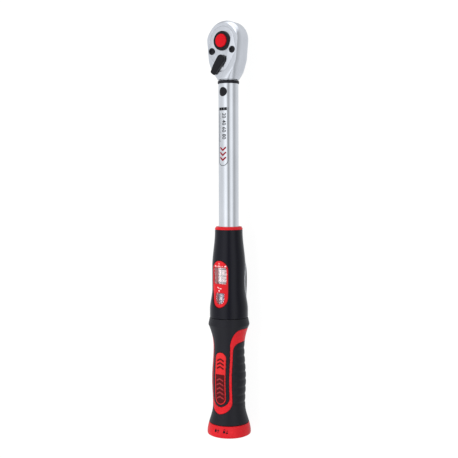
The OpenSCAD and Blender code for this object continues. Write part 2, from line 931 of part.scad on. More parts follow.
// The front pad's tongue, seen from the front.
module tongue_outline() {
    edge = sweep_in(collar_end, sweep_r, tongue_root, tongue_w);
    polygon(concat([[grip_x, -30], [collar_end, -30]],
                   [for (p = edge) [p[0], -p[1]]],
                   [[tongue_end - tongue_w, -tongue_w], [tongue_end - tongue_w, tongue_w]],
                   [for (i = [len(edge) - 1:-1:0]) edge[i]],
                   [[collar_end, 30], [grip_x, 30]]));
    translate([tongue_end - tongue_w, 0]) circle(tongue_w);
}

// The tongue with the red stripe around it.
module stripe_outline() {
    w = tongue_w + stripe_w;
    edge = sweep_in(band_end, sweep_r - 2, stripe_root, w);
    polygon(concat([[grip_x, -30], [band_end, -30]],
                   [for (p = edge) [p[0], -p[1]]],
                   [[stripe_end - w, -w], [stripe_end - w, w]],
                   [for (i = [len(edge) - 1:-1:0]) edge[i]],
                   [[band_end, 30], [grip_x, 30]]));
    translate([stripe_end - w, 0]) circle(w);
}

module panel_outline() {
    slot_outline(panel_x, panel_x + panel_len, panel_w / 2);
}

// All of the grip that lies under the front pad.
module front_zone() {
    upper() tongue_outline();
    lower() translate([grip_x, -30]) square([collar_end - grip_x, 60]);
}

// The front pad's zone with the hard red band around it.
module band_zone() {
    upper() stripe_outline();
    lower() translate([grip_x, -30]) square([band_end - grip_x, 60]);
}

module grip_core() {
    color("red") on_axis() difference() {
        union() {
            turned(thicken(grip_profile, -pad_t));
            intersection() {
                turned(grip_profile);
                difference() {
                    band_zone();
                    front_zone();
                }
            }
            bar(grip_end - 1, spigot_end, spigot_r);
        }
        bar(grip_x - 1, tube_end + gap, grip_bore_r);
        bar(grip_x - 1, drum_seat, drum_or);
        bar(web_x - 1, grip_end + lock_len, shank_r);
        bar(grip_end + 3, ring_end, plug_r);
        snap_groove();
    }
}

module grip_front_pad() {
    color("dimgray") on_axis() difference() {
        intersection() {
            turned(grip_profile);
            front_zone();
        }
        turned(thicken(grip_profile, -pad_t));
        upper() panel_outline();
    }
}

// The ribbed pad on the grip's sides and back, and below the tongue.
module grip_rear_pad() {
    color("dimgray") on_axis() difference() {
        turned(grip_profile);
        turned(thicken(grip_profile, -pad_t));
        band_zone();
        for (i = [0:rib_count - 1])
            rib_groove(rib_x + i * rib_pitch);
    }
}

// A groove around the rear pad.
module rib_groove(x) {
    depth = [for (p = grip_profile) if (abs(p[0] - x) < 6) p[1]];
    r = min(depth);
    difference() {
        bar(x - groove_w / 2, x + groove_w / 2, 2 * swell_r);
        bar(x - groove_w, x + groove_w, r - rib_depth + 0.3);
        translate([x - groove_w, -2 * swell_r, 0])
            cube([2 * groove_w, 2 * swell_r - tongue_w - stripe_w - 1.5, 2 * swell_r]);
        translate([x - groove_w, -swell_r * 0.75, 0]) cube([2 * groove_w, swell_r * 1.5, 2 * swell_r]);
    }
}

module grip_panel() {
    color("red") on_axis() difference() {
        intersection() {
            upper() panel_outline();
            turned(thicken(grip_profile, panel_proud));
        }
        turned(thicken(grip_profile, -pad_t));
    }
}

// The ring that slides out to free or lock the grip.
module lock_ring() {
    color("red") on_axis() difference() {
        turned(concat([[ring_x, flare_at(ring_x)]],
                      [for (p = flare_profile) if (p[0] > ring_x + 0.01) p],
                      [[ring_end - 1, flare_r - 0.2], [ring_end - 0.3, flare_r - 0.9],
                       [ring_end, flare_r - 2]]));
        bar(ring_x - 1, ring_end + 1, spigot_r + 0.1);
    }
}

// The groove in the grip's spigot, and the ring that fills it.
module snap_groove() {
    difference() {
        bar(snap_x, snap_x + snap_w, spigot_r);
        bar(snap_x - 1, snap_x + snap_w + 1, spigot_r - snap_w);
    }
}

module lock_snap_ring() {
    color("silver") on_axis() snap_groove();
}

module end_plug() {
    color("black") on_axis() {
        bar(plug_x, spigot_end, plug_r);
        turned([[spigot_end, spigot_r], [spigot_end + plug_t - 0.5, spigot_r],
                [spigot_end + plug_t, spigot_r - 0.8]]);
    }
}

ratchet_head();
cover_plate();
cover_screws();
drive_gear();
hub_ring();
release_button();
release_rod();
release_spring();
detent_ball();
pawl();
lever_detent_pin();
reversing_lever();
neck_seal();
pivot_pin();
tube();
trip_block();
plunger();
main_spring();
spring_nut();
scale_slider();
adjusting_screw();
thrust_bearing();
screw_bush();
body_shell();
body_ring();
window_frame();
main_lens();
fine_lens();
rear_cover();
scale_drum();
grip_core();
grip_front_pad();
grip_rear_pad();
grip_panel();
lock_ring();
lock_snap_ring();
end_plug();
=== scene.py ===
import math

import bmesh
import bpy
import numpy as np
from mathutils import Matrix, Vector


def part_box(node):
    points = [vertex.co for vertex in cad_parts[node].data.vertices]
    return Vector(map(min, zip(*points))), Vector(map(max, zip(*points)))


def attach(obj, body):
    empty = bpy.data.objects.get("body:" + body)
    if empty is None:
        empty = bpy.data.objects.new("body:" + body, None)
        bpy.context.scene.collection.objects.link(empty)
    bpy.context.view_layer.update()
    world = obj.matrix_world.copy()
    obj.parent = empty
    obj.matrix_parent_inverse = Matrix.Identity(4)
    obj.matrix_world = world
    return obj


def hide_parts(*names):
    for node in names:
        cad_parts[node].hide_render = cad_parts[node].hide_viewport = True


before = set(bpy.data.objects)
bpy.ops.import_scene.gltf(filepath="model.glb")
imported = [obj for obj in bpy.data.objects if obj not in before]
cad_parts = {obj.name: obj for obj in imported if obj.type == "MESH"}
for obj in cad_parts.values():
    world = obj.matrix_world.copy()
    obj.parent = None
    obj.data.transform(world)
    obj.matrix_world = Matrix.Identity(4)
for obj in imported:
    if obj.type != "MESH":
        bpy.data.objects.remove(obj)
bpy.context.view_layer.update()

MM = 0.001


def size_of(node):
    """Lowest and highest corner of a CAD node, in millimetres."""
    low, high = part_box(node)
    return low / MM, high / MM


# ---------- places, worked out from the frame, in millimetres ----------

def x_range(node):
    """A CAD node's front end and back end."""
    low, high = size_of(node)
    return low.x, high.x


def half_width(node):
    """How far a CAD node reaches sideways from the tool's axis."""
    return size_of(node)[1].y


# The small numbers added here fit the seen edges to the photograph.
tube_low, tube_high = size_of("tube")
AXIS = (tube_low.z + tube_high.z) / 2
TUBE_R = (tube_high.y - tube_low.y) / 2
TUBE_X = x_range("neck_seal")[1]
BODY_X, ring_x1 = x_range("body_ring")
RING_END = ring_x1 - 1.2
BODY_END = x_range("body_shell")[1]
BODY_FRONT_R = half_width("body_ring")
BODY_REAR_R = half_width("body_shell") - 0.05
BODY_MID_R = size_of("main_lens")[1].z - AXIS + 0.3
frame_x0, FRAME_X1 = x_range("window_frame")
FRAME_X0 = frame_x0 + 0.9
FRAME_R = half_width("window_frame")
window_x0, WINDOW_X1 = x_range("main_lens")
WINDOW_X0 = window_x0 + 0.5
WINDOW_W = 2 * half_width("main_lens") + 2.2
FINE_X0, FINE_X1 = x_range("fine_lens")
FINE_W = 2 * half_width("fine_lens") + 1.9
cover_x0, cover_x1 = x_range("rear_cover")
COVER_X = (cover_x0 + cover_x1) / 2
COVER_A = (cover_x1 - cover_x0) / 2
COVER_B = 1.42 * half_width("rear_cover")
GRIP_X = x_range("grip_front_pad")[0]
GRIP_END = x_range("grip_rear_pad")[1]
LOCK_X0, LOCK_X1 = x_range("lock_ring")
FLARE_R = half_width("lock_ring")
PANEL_X0, PANEL_X1 = x_range("grip_panel")
PANEL_R = half_width("grip_panel")
TONGUE_W = 11
STRIPE_W = 2.2
PAD_T = 2.2
PANEL_TURN = math.radians(1.7)
HEAD_T = 24.4
HEAD_R = half_width("ratchet_head")
HEAD_X = x_range("ratchet_head")[0] + HEAD_R
SHOULDER_R = 19
LEVER_X = 20.1
SCREW_X = 10.4
SCREW_Y = 13.3
SHOULDER_X = LEVER_X - 3.3
NECK_R = 11.6
NECK_END = TUBE_X - 4.2
HEAD_TOP = AXIS + HEAD_T / 2
HEAD_BOTTOM = AXIS - HEAD_T / 2
BULGE = 1.5
HEAD_WIDER = 0.7
FRAME_PROUD = 0.3


# ---------- curves ----------

def quarter(steps):
    """Angles from 0 to a right angle."""
    return [math.pi / 2 * i / steps for i in range(steps + 1)]


def ease(t):
    """A soft S from 0 to 1."""
    t = np.clip(t, 0, 1)
    return t * t * (3 - 2 * t)


def between(x, x0, x1):
    return (x - x0) / (x1 - x0)


def body_radius(x):
    """Radius of the sleeve at x."""
    rise = (BODY_MID_R - BODY_FRONT_R) * ease(between(x, BODY_X + 5.5, BODY_X + 44.5))
    swell = (BODY_REAR_R - BODY_MID_R) * ease(between(x, BODY_END - 32, BODY_END - 8))
    return BODY_FRONT_R + rise + swell


CREST_X = GRIP_X + 7.6
CREST_R = half_width("grip_front_pad")
WAIST_X = CREST_X + 25.9
SWELL_R = size_of("grip_panel")[1].z - AXIS - 0.25
WAIST_R = SWELL_R - 1.7
TAIL_R = SWELL_R - 0.85
TAIL_X = GRIP_END - 22
FLARE_X0 = TAIL_X + 3.5
FLARE_X1 = LOCK_X1 - 2.6


def grip_radius(x):
    """Radius of the grip at x, with the sharp crest slightly rounded."""
    x = np.asarray(x, float)
    front = BODY_REAR_R + 0.05 + (CREST_R - BODY_REAR_R) * between(x, GRIP_X, CREST_X)
    fall = WAIST_R + (CREST_R - WAIST_R) * (1 - np.clip(between(x, CREST_X, WAIST_X), 0, 1)) ** 2
    crest = -0.2 * np.log(np.exp(-front / 0.2) + np.exp(-fall / 0.2))
    swell = (SWELL_R - WAIST_R) * ease(between(x, WAIST_X + 1, WAIST_X + 35))
    tail = (TAIL_R - SWELL_R) * ease(between(x, TAIL_X - 25, TAIL_X))
    flare = (FLARE_R - TAIL_R) * ease(between(x, FLARE_X0, FLARE_X1))
    return crest + swell + tail + flare


def sweep_in(x0, y0, x1, y1, power):
    """A quarter curve that sweeps in from the grip's side to a straight edge."""
    return [(x0 + (x1 - x0) * t, y0 - (y0 - y1) * (1 - (1 - t) ** power) ** (1 / power))
            for t in (i / 24 for i in range(25))]


def round_end(x, r):
    """The quarter circle that closes an outline of half width r at x."""
    return [(x - r + r * math.sin(a), r * math.cos(a)) for a in quarter(24)]


COLLAR_END = CREST_X + 3.4
BAND_END = COLLAR_END + 15
TONGUE_END = GRIP_END - 19.6
STRIPE_END = TONGUE_END + 7.7
tongue_edge = ([(COLLAR_END + 0.6, 80)]
               + sweep_in(COLLAR_END + 0.6, 21, COLLAR_END + 19, TONGUE_W, 1.5)
               + round_end(TONGUE_END, TONGUE_W))
stripe_edge = ([(BAND_END, 80)]
               + sweep_in(BAND_END, 19, BAND_END + 10, TONGUE_W + STRIPE_W, 1.8)
               + round_end(STRIPE_END, TONGUE_W + STRIPE_W))


def edge_distance(x, y, edge):
    """Signed distance to an outline that is symmetric about the axis, below zero inside."""
    y = np.abs(y)
    best = np.full(np.shape(x), 1e9)
    for (x0, y0), (x1, y1) in zip(edge, edge[1:]):
        dx, dy = x1 - x0, y1 - y0
        length = dx * dx + dy * dy
        t = np.clip(((x - x0) * dx + (y - y0) * dy) / length, 0, 1)
        best = np.minimum(best, np.hypot(x - x0 - t * dx, y - y0 - t * dy))
    xs = np.array([p[0] for p in edge])
    ys = np.array([p[1] for p in edge])
    width = np.interp(x, xs, ys, left=1e6, right=-1)
    return np.where(y < width, -best, best)


def stadium(x, y, x0, x1, r):
    """Signed distance to a long rounded outline."""
    return np.hypot(x - np.clip(x, x0 + r, x1 - r), y) - r


def rounded_box(x, y, x0, x1, half, r):
    cx, hx = (x0 + x1) / 2, (x1 - x0) / 2
    dx, dy = np.abs(x - cx) - hx + r, np.abs(y) - half + r
    return np.minimum(np.maximum(dx, dy), 0) + np.hypot(np.maximum(dx, 0), np.maximum(dy, 0)) - r


def main_shape(x, y):
    """The main window."""
    return rounded_box(x, y, WINDOW_X0, WINDOW_X1, WINDOW_W / 2, 2.2)


def fine_shape(x, y):
    """The fine window: straight at the front and round at the back."""
    r = FINE_W / 2
    return np.maximum(stadium(x, y, FINE_X0 - FINE_W, FINE_X1, r), FINE_X0 - x)


def frame_shape(x, y):
    """The window frame's own outline."""
    return stadium(x, y, FRAME_X0, FRAME_X1, FRAME_R)


def oval(x, phi):
    """About the signed distance to the rear cover's outline, which wraps round the sleeve's back."""
    y = body_radius(x) * ((phi + 2 * math.pi) % (2 * math.pi) - math.pi)
    k = np.hypot((x - COVER_X) / COVER_A, y / COVER_B)
    grad = np.hypot((x - COVER_X) / COVER_A ** 2, y / COVER_B ** 2) + 1e-9
    return (k - 1) * np.minimum(k / grad, COVER_B)


def frame_tail(x):
    """0 on the window frame's front part and 1 at its rear end."""
    return ease(between(x, FRAME_X1 - 24, FRAME_X1 - 3))


def frame_level(x):
    """Radius under the window frame, which stays nearly straight where the sleeve swells round it."""
    return body_radius(x) - 1.7 * frame_tail(x)


def frame_y(x, phi):
    """Sideways place on the window frame, as seen from the front."""
    return body_radius(x) * np.sin(phi) - 0.45 * frame_tail(x)


def soft_edge(depth, r):
    """How far a surface drops near its border, for an edge rounded to r."""
    t = np.clip(1 - depth / r, 0, 1)
    return r * (1 - np.sqrt(np.maximum(1 - t * t, 0)))


# ---------- mesh helpers ----------

def make_mesh(name, verts, faces):
    """A mesh from points in millimetres, with equal points joined and its faces turned outwards."""
    mesh = bpy.data.meshes.new(name)
    mesh.from_pydata([[c * MM for c in v] for v in verts], [], faces)
    bm = bmesh.new()
    bm.from_mesh(mesh)
    bmesh.ops.remove_doubles(bm, verts=bm.verts, dist=1e-7)
    bmesh.ops.recalc_face_normals(bm, faces=bm.faces)
    bm.to_mesh(mesh)
    bm.free()
    return mesh


def add_object(name, data):
    obj = bpy.data.objects.new(name, data)
    bpy.context.scene.collection.objects.link(obj)
    return obj


def piece(name, verts, faces, material, body, slot, replaces=(), sharp=35):
    """Makes a piece from points in millimetres and puts it on its body."""
    return dress(add_object(name, make_mesh(name, verts, faces)), material, body, slot, replaces, sharp)


def dress(obj, material, body, slot, replaces=(), sharp=35):
    """Gives a piece its material, its body, and the CAD nodes that it hides. The slot is not used."""
    for polygon in obj.data.polygons:
        polygon.use_smooth = True
    obj.data.set_sharp_from_angle(angle=math.radians(sharp))
    obj.data.materials.clear()
    obj.data.materials.append(material)
    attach(obj, body)
    if replaces:
        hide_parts(*replaces)
    return obj


def on_tool(x, phi, r):
    """A point on the tool: phi turns from the front face (+Z) towards +Y."""
    return (x, r * math.sin(phi), AXIS + r * math.cos(phi))


def rounded(points, closed=False):
    """A path through points (u, v, radius), with each corner rounded to its radius."""
    path, steps = [], 5
    count = len(points)
    for i, (u, v, r) in enumerate(points):
        if r <= 0 or (not closed and i in (0, count - 1)):
            path.append((u, v))
            continue
        here = Vector((u, v))
        before = (Vector(points[i - 1][:2]) - here).normalized()
        after = (Vector(points[(i + 1) % count][:2]) - here).normalized()
        half = before.angle(after) / 2
        reach = r / math.tan(half)
        centre = here + (before + after).normalized() * (r / math.sin(half))
        start, end = here + before * reach - centre, here + after * reach - centre
        turn = start.angle_signed(end)
        for k in range(steps + 1):
            a = -turn * k / steps
            path.append((centre.x + start.x * math.cos(a) - start.y * math.sin(a),
                         centre.y + start.x * math.sin(a) + start.y * math.cos(a)))
    return path


def lathe_mesh(path, place, closed=False, segments=128):
    """Points and faces of a turned form. place(u, r, angle) puts a path point in space."""
    count = len(path)
    verts = [place(u, r, 2 * math.pi * k / segments) for u, r in path for k in range(segments)]
    faces = []
    for i in range(count if closed else count - 1):
        a, b = i * segments, (i + 1) % count * segments
        for k in range(segments):
            m = (k + 1) % segments
            faces.append((a + k, a + m, b + m, b + k))
    return verts, faces


def turned(name, corners, material, body, slot, replaces=(), closed=False):
    """A form turned around the tool's axis, from corners (x, r, rounding)."""
    mesh = lathe_mesh(rounded(corners, closed), lambda u, r, a: on_tool(u, a, r), closed, 160)
    return piece(name, *mesh, material, body, slot, replaces)


def upright(name, corners, material, body, slot, replaces=(), closed=False):
    """A form turned around the square drive's axis, from corners (z, r, rounding)."""
    def place(u, r, a):
        return (r * math.cos(a), r * math.sin(a), u)

    mesh = lathe_mesh(rounded(corners, closed), place, closed, 96)
    return piece(name, *mesh, material, body, slot, replaces)


def skin(name, xs, phis, field, outer, inner, material, body, slot, replaces=()):
    """A shell on the tool, cut where field(x, phi) is above zero, with its walls closed.
    outer(x, phi, depth) and inner(x, phi) are radii, and depth is the distance from the border."""
    wrap = phis[-1] - phis[0] > 1.9 * math.pi
    grid_x, grid_p = np.meshgrid(xs, phis, indexing="ij")
    value = field(grid_x, grid_p)
    step = xs[1] - xs[0]
    value[np.abs(value) < 0.15 * step] = -1e-6
    rows, columns = value.shape
    points, index, faces = [], {}, []

    def corner(i, j):
        key = (i, j)
        if key not in index:
            index[key] = len(points)
            points.append((xs[i], phis[j], -value[i, j]))
        return index[key]

    def crossing(a, b):
        key = (min(a, b), max(a, b))
        if key not in index:
            va, vb = value[a], value[b]
            t = va / (va - vb)
            pa, pb = phis[a[1]], phis[b[1]]
            if wrap and abs(pa - pb) > math.pi:
                pb += 2 * math.pi if pb < pa else -2 * math.pi
            index[key] = len(points)
            points.append((xs[a[0]] + t * (xs[b[0]] - xs[a[0]]), pa + t * (pb - pa), 0.0))
        return index[key]

    for i in range(rows - 1):
        for j in range(columns if wrap else columns - 1):
            k = (j + 1) % columns
            loop = [(i, j), (i + 1, j), (i + 1, k), (i, k)]
            inside = [value[c] < 0 for c in loop]
            if not any(inside):
                continue
            if all(inside):
                faces.append([corner(*c) for c in loop])
                continue
            ring = []
            for n, c in enumerate(loop):
                after = loop[(n + 1) % 4]
                if inside[n]:
                    ring.append(corner(*c))
                if inside[n] != inside[(n + 1) % 4]:
                    ring.append(crossing(c, after))
            if len(ring) > 2:
                faces.append(ring)
    data = np.array(points)
    top = outer(data[:, 0], data[:, 1], data[:, 2])
    low = inner(data[:, 0], data[:, 1])
    count = len(points)
    verts = [on_tool(p[0], p[1], r) for p, r in zip(points, top)]
    verts += [on_tool(p[0], p[1], r) for p, r in zip(points, low)]
    used = {}
    for face in faces:
        for a, b in zip(face, face[1:] + face[:1]):
            used[(a, b)] = used.get((a, b), 0) + 1
    walls = [(b, a, a + count, b + count) for a, b in used if (b, a) not in used]
    inner_faces = [[v + count for v in reversed(face)] for face in faces]
    return piece(name, verts, faces + walls + inner_faces, material, body, slot, replaces, sharp=40)


def hull_outline(circles, inset):
    """Points round the hull of circles (x, y, r), moved in by inset."""
    points, count = [], 240
    for i in range(count):
        a = 2 * math.pi * (i + 0.5) / count
        nx, ny = math.cos(a), math.sin(a)
        cx, cy, r = max(circles, key=lambda c: c[0] * nx + c[1] * ny + c[2])
        points.append((cx + (r - inset) * nx, cy + (r - inset) * ny))
    return points


def stack(rings):
    """Faces between rings of equal length, closed at both ends."""
    verts = [p for ring in rings for p in ring]
    n = len(rings[0])
    faces = [(a * n + k, a * n + (k + 1) % n, (a + 1) * n + (k + 1) % n, (a + 1) * n + k)
             for a in range(len(rings) - 1) for k in range(n)]
    faces.append(tuple(reversed(range(n))))
    faces.append(tuple(range((len(rings) - 1) * n, len(rings) * n)))
    return verts, faces


def configure(thing, **values):
    """Sets several values of a thing."""
    for key, value in values.items():
        setattr(thing, key, value)


def change(obj, kind, **values):
    """Replaces a piece's mesh with what a modifier makes of it."""
    configure(obj.modifiers.new("change", kind), **values)
    bpy.context.view_layer.update()
    graph = bpy.context.evaluated_depsgraph_get()
    mesh = bpy.data.meshes.new_from_object(obj.evaluated_get(graph))
    obj.modifiers.clear()
    obj.data = mesh


def cut(obj, outline, z0, z1):
    """Takes an upright form away from a piece."""
    cutter = add_object("cutter", make_mesh("cutter", *prism(outline, z0, z1)))
    change(obj, "BOOLEAN", operation="DIFFERENCE", solver="EXACT", object=cutter)
    bpy.data.objects.remove(cutter)


def bevel(obj, width):
    change(obj, "BEVEL", width=width * MM, segments=2, limit_method="ANGLE", angle_limit=math.radians(40),
           harden_normals=False)


def prism(outline, z0, z1):
    return stack([[(x, y, z0) for x, y in outline], [(x, y, z1) for x, y in outline]])


def circle(cx, r, count=96):
    return [(cx + r * math.cos(2 * math.pi * k / count), r * math.sin(2 * math.pi * k / count))
            for k in range(count)]


# ---------- materials ----------

def fill(tree, node, inputs):
    """Fills a node's inputs, by name or number: an output is linked, and a plain value is set."""
    for key, value in inputs.items():
        if isinstance(value, bpy.types.NodeSocket):
            tree.links.new(value, node.inputs[key])
        else:
            node.inputs[key].default_value = value
    return node


def add_node(tree, kind, inputs):
    return fill(tree, tree.nodes.new("ShaderNode" + kind), inputs)


def calculate(tree, operation, first, second):
    node = add_node(tree, "Math", {0: first, 1: second})
    node.operation = operation
    return node.outputs[0]


def shader(name, colour, roughness, metallic=0.0, specular=0.5):
    """A material with its plain values on the shader's own sockets."""
    material = bpy.data.materials.new(name)
    material.use_nodes = True
    tree = material.node_tree
    principled = fill(tree, tree.nodes["Principled BSDF"], {
        "Base Color": (*colour, 1), "Roughness": roughness, "Metallic": metallic,
        "Specular IOR Level": specular})
    return material, tree, principled


def noise(tree, scale, detail, stretch=(1, 1, 1), roughness=0.5):
    """Noise in the object's own coordinates. scale counts waves per metre."""
    coords = add_node(tree, "TexCoord", {}).outputs["Object"]
    mapping = add_node(tree, "Mapping", {"Vector": coords, "Scale": stretch})
    return add_node(tree, "TexNoise", {"Vector": mapping.outputs["Vector"], "Scale": scale, "Detail": detail,
                                       "Roughness": roughness}).outputs["Fac"]


def ramp(tree, fac, stops):
    """Turns a value into a colour. stops are (position, colour)."""
    node = add_node(tree, "ValToRGB", {"Fac": fac})
    elements = node.color_ramp.elements
    while len(elements) < len(stops):
        elements.new(0.5)
    for element, (position, colour) in zip(elements, stops):
        element.position = position
        element.color = (*colour, 1)
    return node.outputs["Color"]


def spread(tree, fac, low, high, start=0.3, end=0.7):
    """Stretches a value onto the range low to high."""
    return add_node(tree, "MapRange", {"Value": fac, "From Min": start, "From Max": end, "To Min": low,
                                       "To Max": high}).outputs["Result"]


def tint(colour, factor):
    return tuple(c * factor for c in colour)


def add_grain(tree, principled, colour, tones, cloud, fine, roughness, shares, strength, depth):
    """Changes the tone with a wide noise, and the roughness and the surface with a fine one."""
    low, high = (tint(colour, tone) for tone in tones)
    relief = add_node(tree, "Bump", {"Height": fine, "Strength": strength, "Distance": depth})
    fill(tree, principled, {
        "Base Color": ramp(tree, cloud, [(0.3, low), (0.7, high)]), "Normal": relief.outputs["Normal"],
        "Roughness": spread(tree, fine, roughness * shares[0], roughness * shares[1])})


def metal(name, colour, roughness, stretch=(1, 1, 1), grain=900, depth=0.000004):
    """Plated or machined metal with fine marks that run across the stretch."""
    material, tree, principled = shader(name, colour, roughness, metallic=1.0)
    add_grain(tree, principled, colour, (0.96, 1.03), noise(tree, 45, 3), noise(tree, grain, 4, stretch),
              roughness, (0.85, 1.2), 0.35, depth)
    return material


def plastic(name, colour, roughness, grain=1600, depth=0.00002, specular=0.3, strength=0.4):
    """Moulded plastic with an even grain and slight changes of tone."""
    material, tree, principled = shader(name, colour, roughness, specular=specular)
    add_grain(tree, principled, colour, (0.9, 1.1), noise(tree, 60, 4), noise(tree, grain, 3, roughness=0.6),
              roughness, (0.9, 1.12), strength, depth)
    return material


def hard_red(name, colour, roughness, specular):
    return plastic(name, colour, roughness, grain=1500, depth=0.00001, specular=specular, strength=0.25)


def ink(name, colour, specular=0.05):
    return plastic(name, colour, 0.5, grain=1200, depth=0.000003, specular=specular)


def clear_glass(name):
    material, tree, principled = shader(name, (0.96, 0.98, 1.0), 0.03)
    fill(tree, principled, {"Transmission Weight": 1.0, "IOR": 1.45,
                            "Roughness": spread(tree, noise(tree, 300, 2), 0.02, 0.05)})
    return material


CHROME = metal("satin_chrome", (0.79, 0.81, 0.85), 0.22, grain=1400)
TUBE = metal("tube_chrome", (0.83, 0.85, 0.88), 0.13, stretch=(0.08, 1, 1), grain=700)
STEEL = metal("machined_steel", (0.56, 0.57, 0.6), 0.3, stretch=(4, 1, 1))
BRASS = metal("machined_brass", (0.72, 0.55, 0.28), 0.3, stretch=(4, 1, 1))
BLACK_STEEL = plastic("black_oxide", (0.0025, 0.0022, 0.004), 0.33, grain=1200)
BLACK_PLASTIC = plastic("black_plastic", (0.0008, 0.0006, 0.0042), 0.16, grain=2200, strength=0.1)
BLACK_SOFT = plastic("black_soft", (0.004, 0.0038, 0.0068), 0.42, grain=2600, specular=0.32)
RED_PLASTIC = hard_red("red_plastic", (0.55, 0.008, 0.014), 0.36, 0.22)
RED_BUTTON = hard_red("red_button", (0.50, 0.003, 0.009), 0.4, 0.12)
RED_PANEL = hard_red("red_panel", (0.55, 0.018, 0.02), 0.42, 0.2)
RED_BARS = hard_red("red_bars", (0.27, 0.024, 0.028), 0.45, 0.2)
DARK_RED = plastic("dark_red", (0.075, 0.004, 0.006), 0.5, grain=1800, specular=0.12)
WHITE = plastic("white_scale", (0.78, 0.66, 0.65), 0.5, grain=1200, depth=0.000005, specular=0.2)
INK = ink("black_ink", (0.008, 0.008, 0.01))
GREY_INK = ink("grey_ink", (0.09, 0.1, 0.11))
WHITE_INK = ink("white_ink", (0.85, 0.82, 0.82), specular=0.3)
RED_INK = ink("red_ink", (0.22, 0.008, 0.018))
# Light grey painted highlight for the rear cover's rounded rim, which is black plastic like the rest of the
# cover.
RIM_HIGHLIGHT_PAINT = plastic("painted_rim_highlight", (0.42, 0.43, 0.45), 0.45)
WELL = plastic("window_well", (0.5, 0.13, 0.14), 0.5, specular=0.2)
DRUM_GREY = plastic("drum_grey", (0.17, 0.145, 0.2), 0.5, specular=0.2)
GLASS = clear_glass("clear_window")

CAD_MATERIALS = [
    (CHROME, "ratchet_head cover_plate drive_gear"),
    (STEEL, "release_rod release_spring detent_ball pawl trip_block plunger main_spring"),
    (STEEL, "adjusting_screw thrust_bearing lock_snap_ring"),
    (BRASS, "lever_detent_pin spring_nut screw_bush"),
    (BLACK_STEEL, "cover_screws hub_ring reversing_lever pivot_pin"),
    (BLACK_PLASTIC, "body_shell rear_cover end_plug"),
    (BLACK_SOFT, "neck_seal grip_front_pad grip_rear_pad"),
    (RED_PLASTIC, "release_button body_ring window_frame grip_core lock_ring"),
    (RED_PANEL, "grip_panel"),
    (TUBE, "tube"),
    (WHITE, "scale_slider"),
    (DRUM_GREY, "scale_drum"),
    (GLASS, "main_lens fine_lens"),
]
for material, node_names in CAD_MATERIALS:
    for node_name in node_names.split():
        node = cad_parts[node_name]
        node.data.materials.clear()
        node.data.materials.append(material)


# ---------- head ----------

HEAD_CIRCLES = [(HEAD_X, HEAD_WIDER, HEAD_R), (HEAD_X, -HEAD_WIDER, HEAD_R),
                (SHOULDER_X, 0, SHOULDER_R + 0.4), (NECK_END, 0, NECK_R)]
PLATE_CIRCLES = [(0, 0, 15.5), (SCREW_X, SCREW_Y, 4.8), (SCREW_X, -SCREW_Y, 4.8), (LEVER_X + 4, 0, 8)]


def neck_limit(x):
    """Largest distance from the tool's axis that the head has at x."""
    return np.interp(x, [0, NECK_END - 17.2, NECK_END - 13.5, NECK_END - 7, NECK_END],
                     [2.5 * HEAD_R, NECK_R + 11.3, NECK_R + 8.4, NECK_R + 4.6, NECK_R])


def fine_outline(circles, inset):
    """The hull's outline with points along its straight stretches too."""
    spacing = 1.2
    base = hull_outline(circles, 0)
    moved = hull_outline(circles, inset)
    points = []
    for k, start in enumerate(base):
        m = (k + 1) % len(base)
        length = math.dist(start, base[m])
        parts = max(1, round(length / spacing))
        for i in range(parts):
            t = i / parts
            points.append(tuple(a + (b - a) * t for a, b in zip(moved[k], moved[m])))
    return points


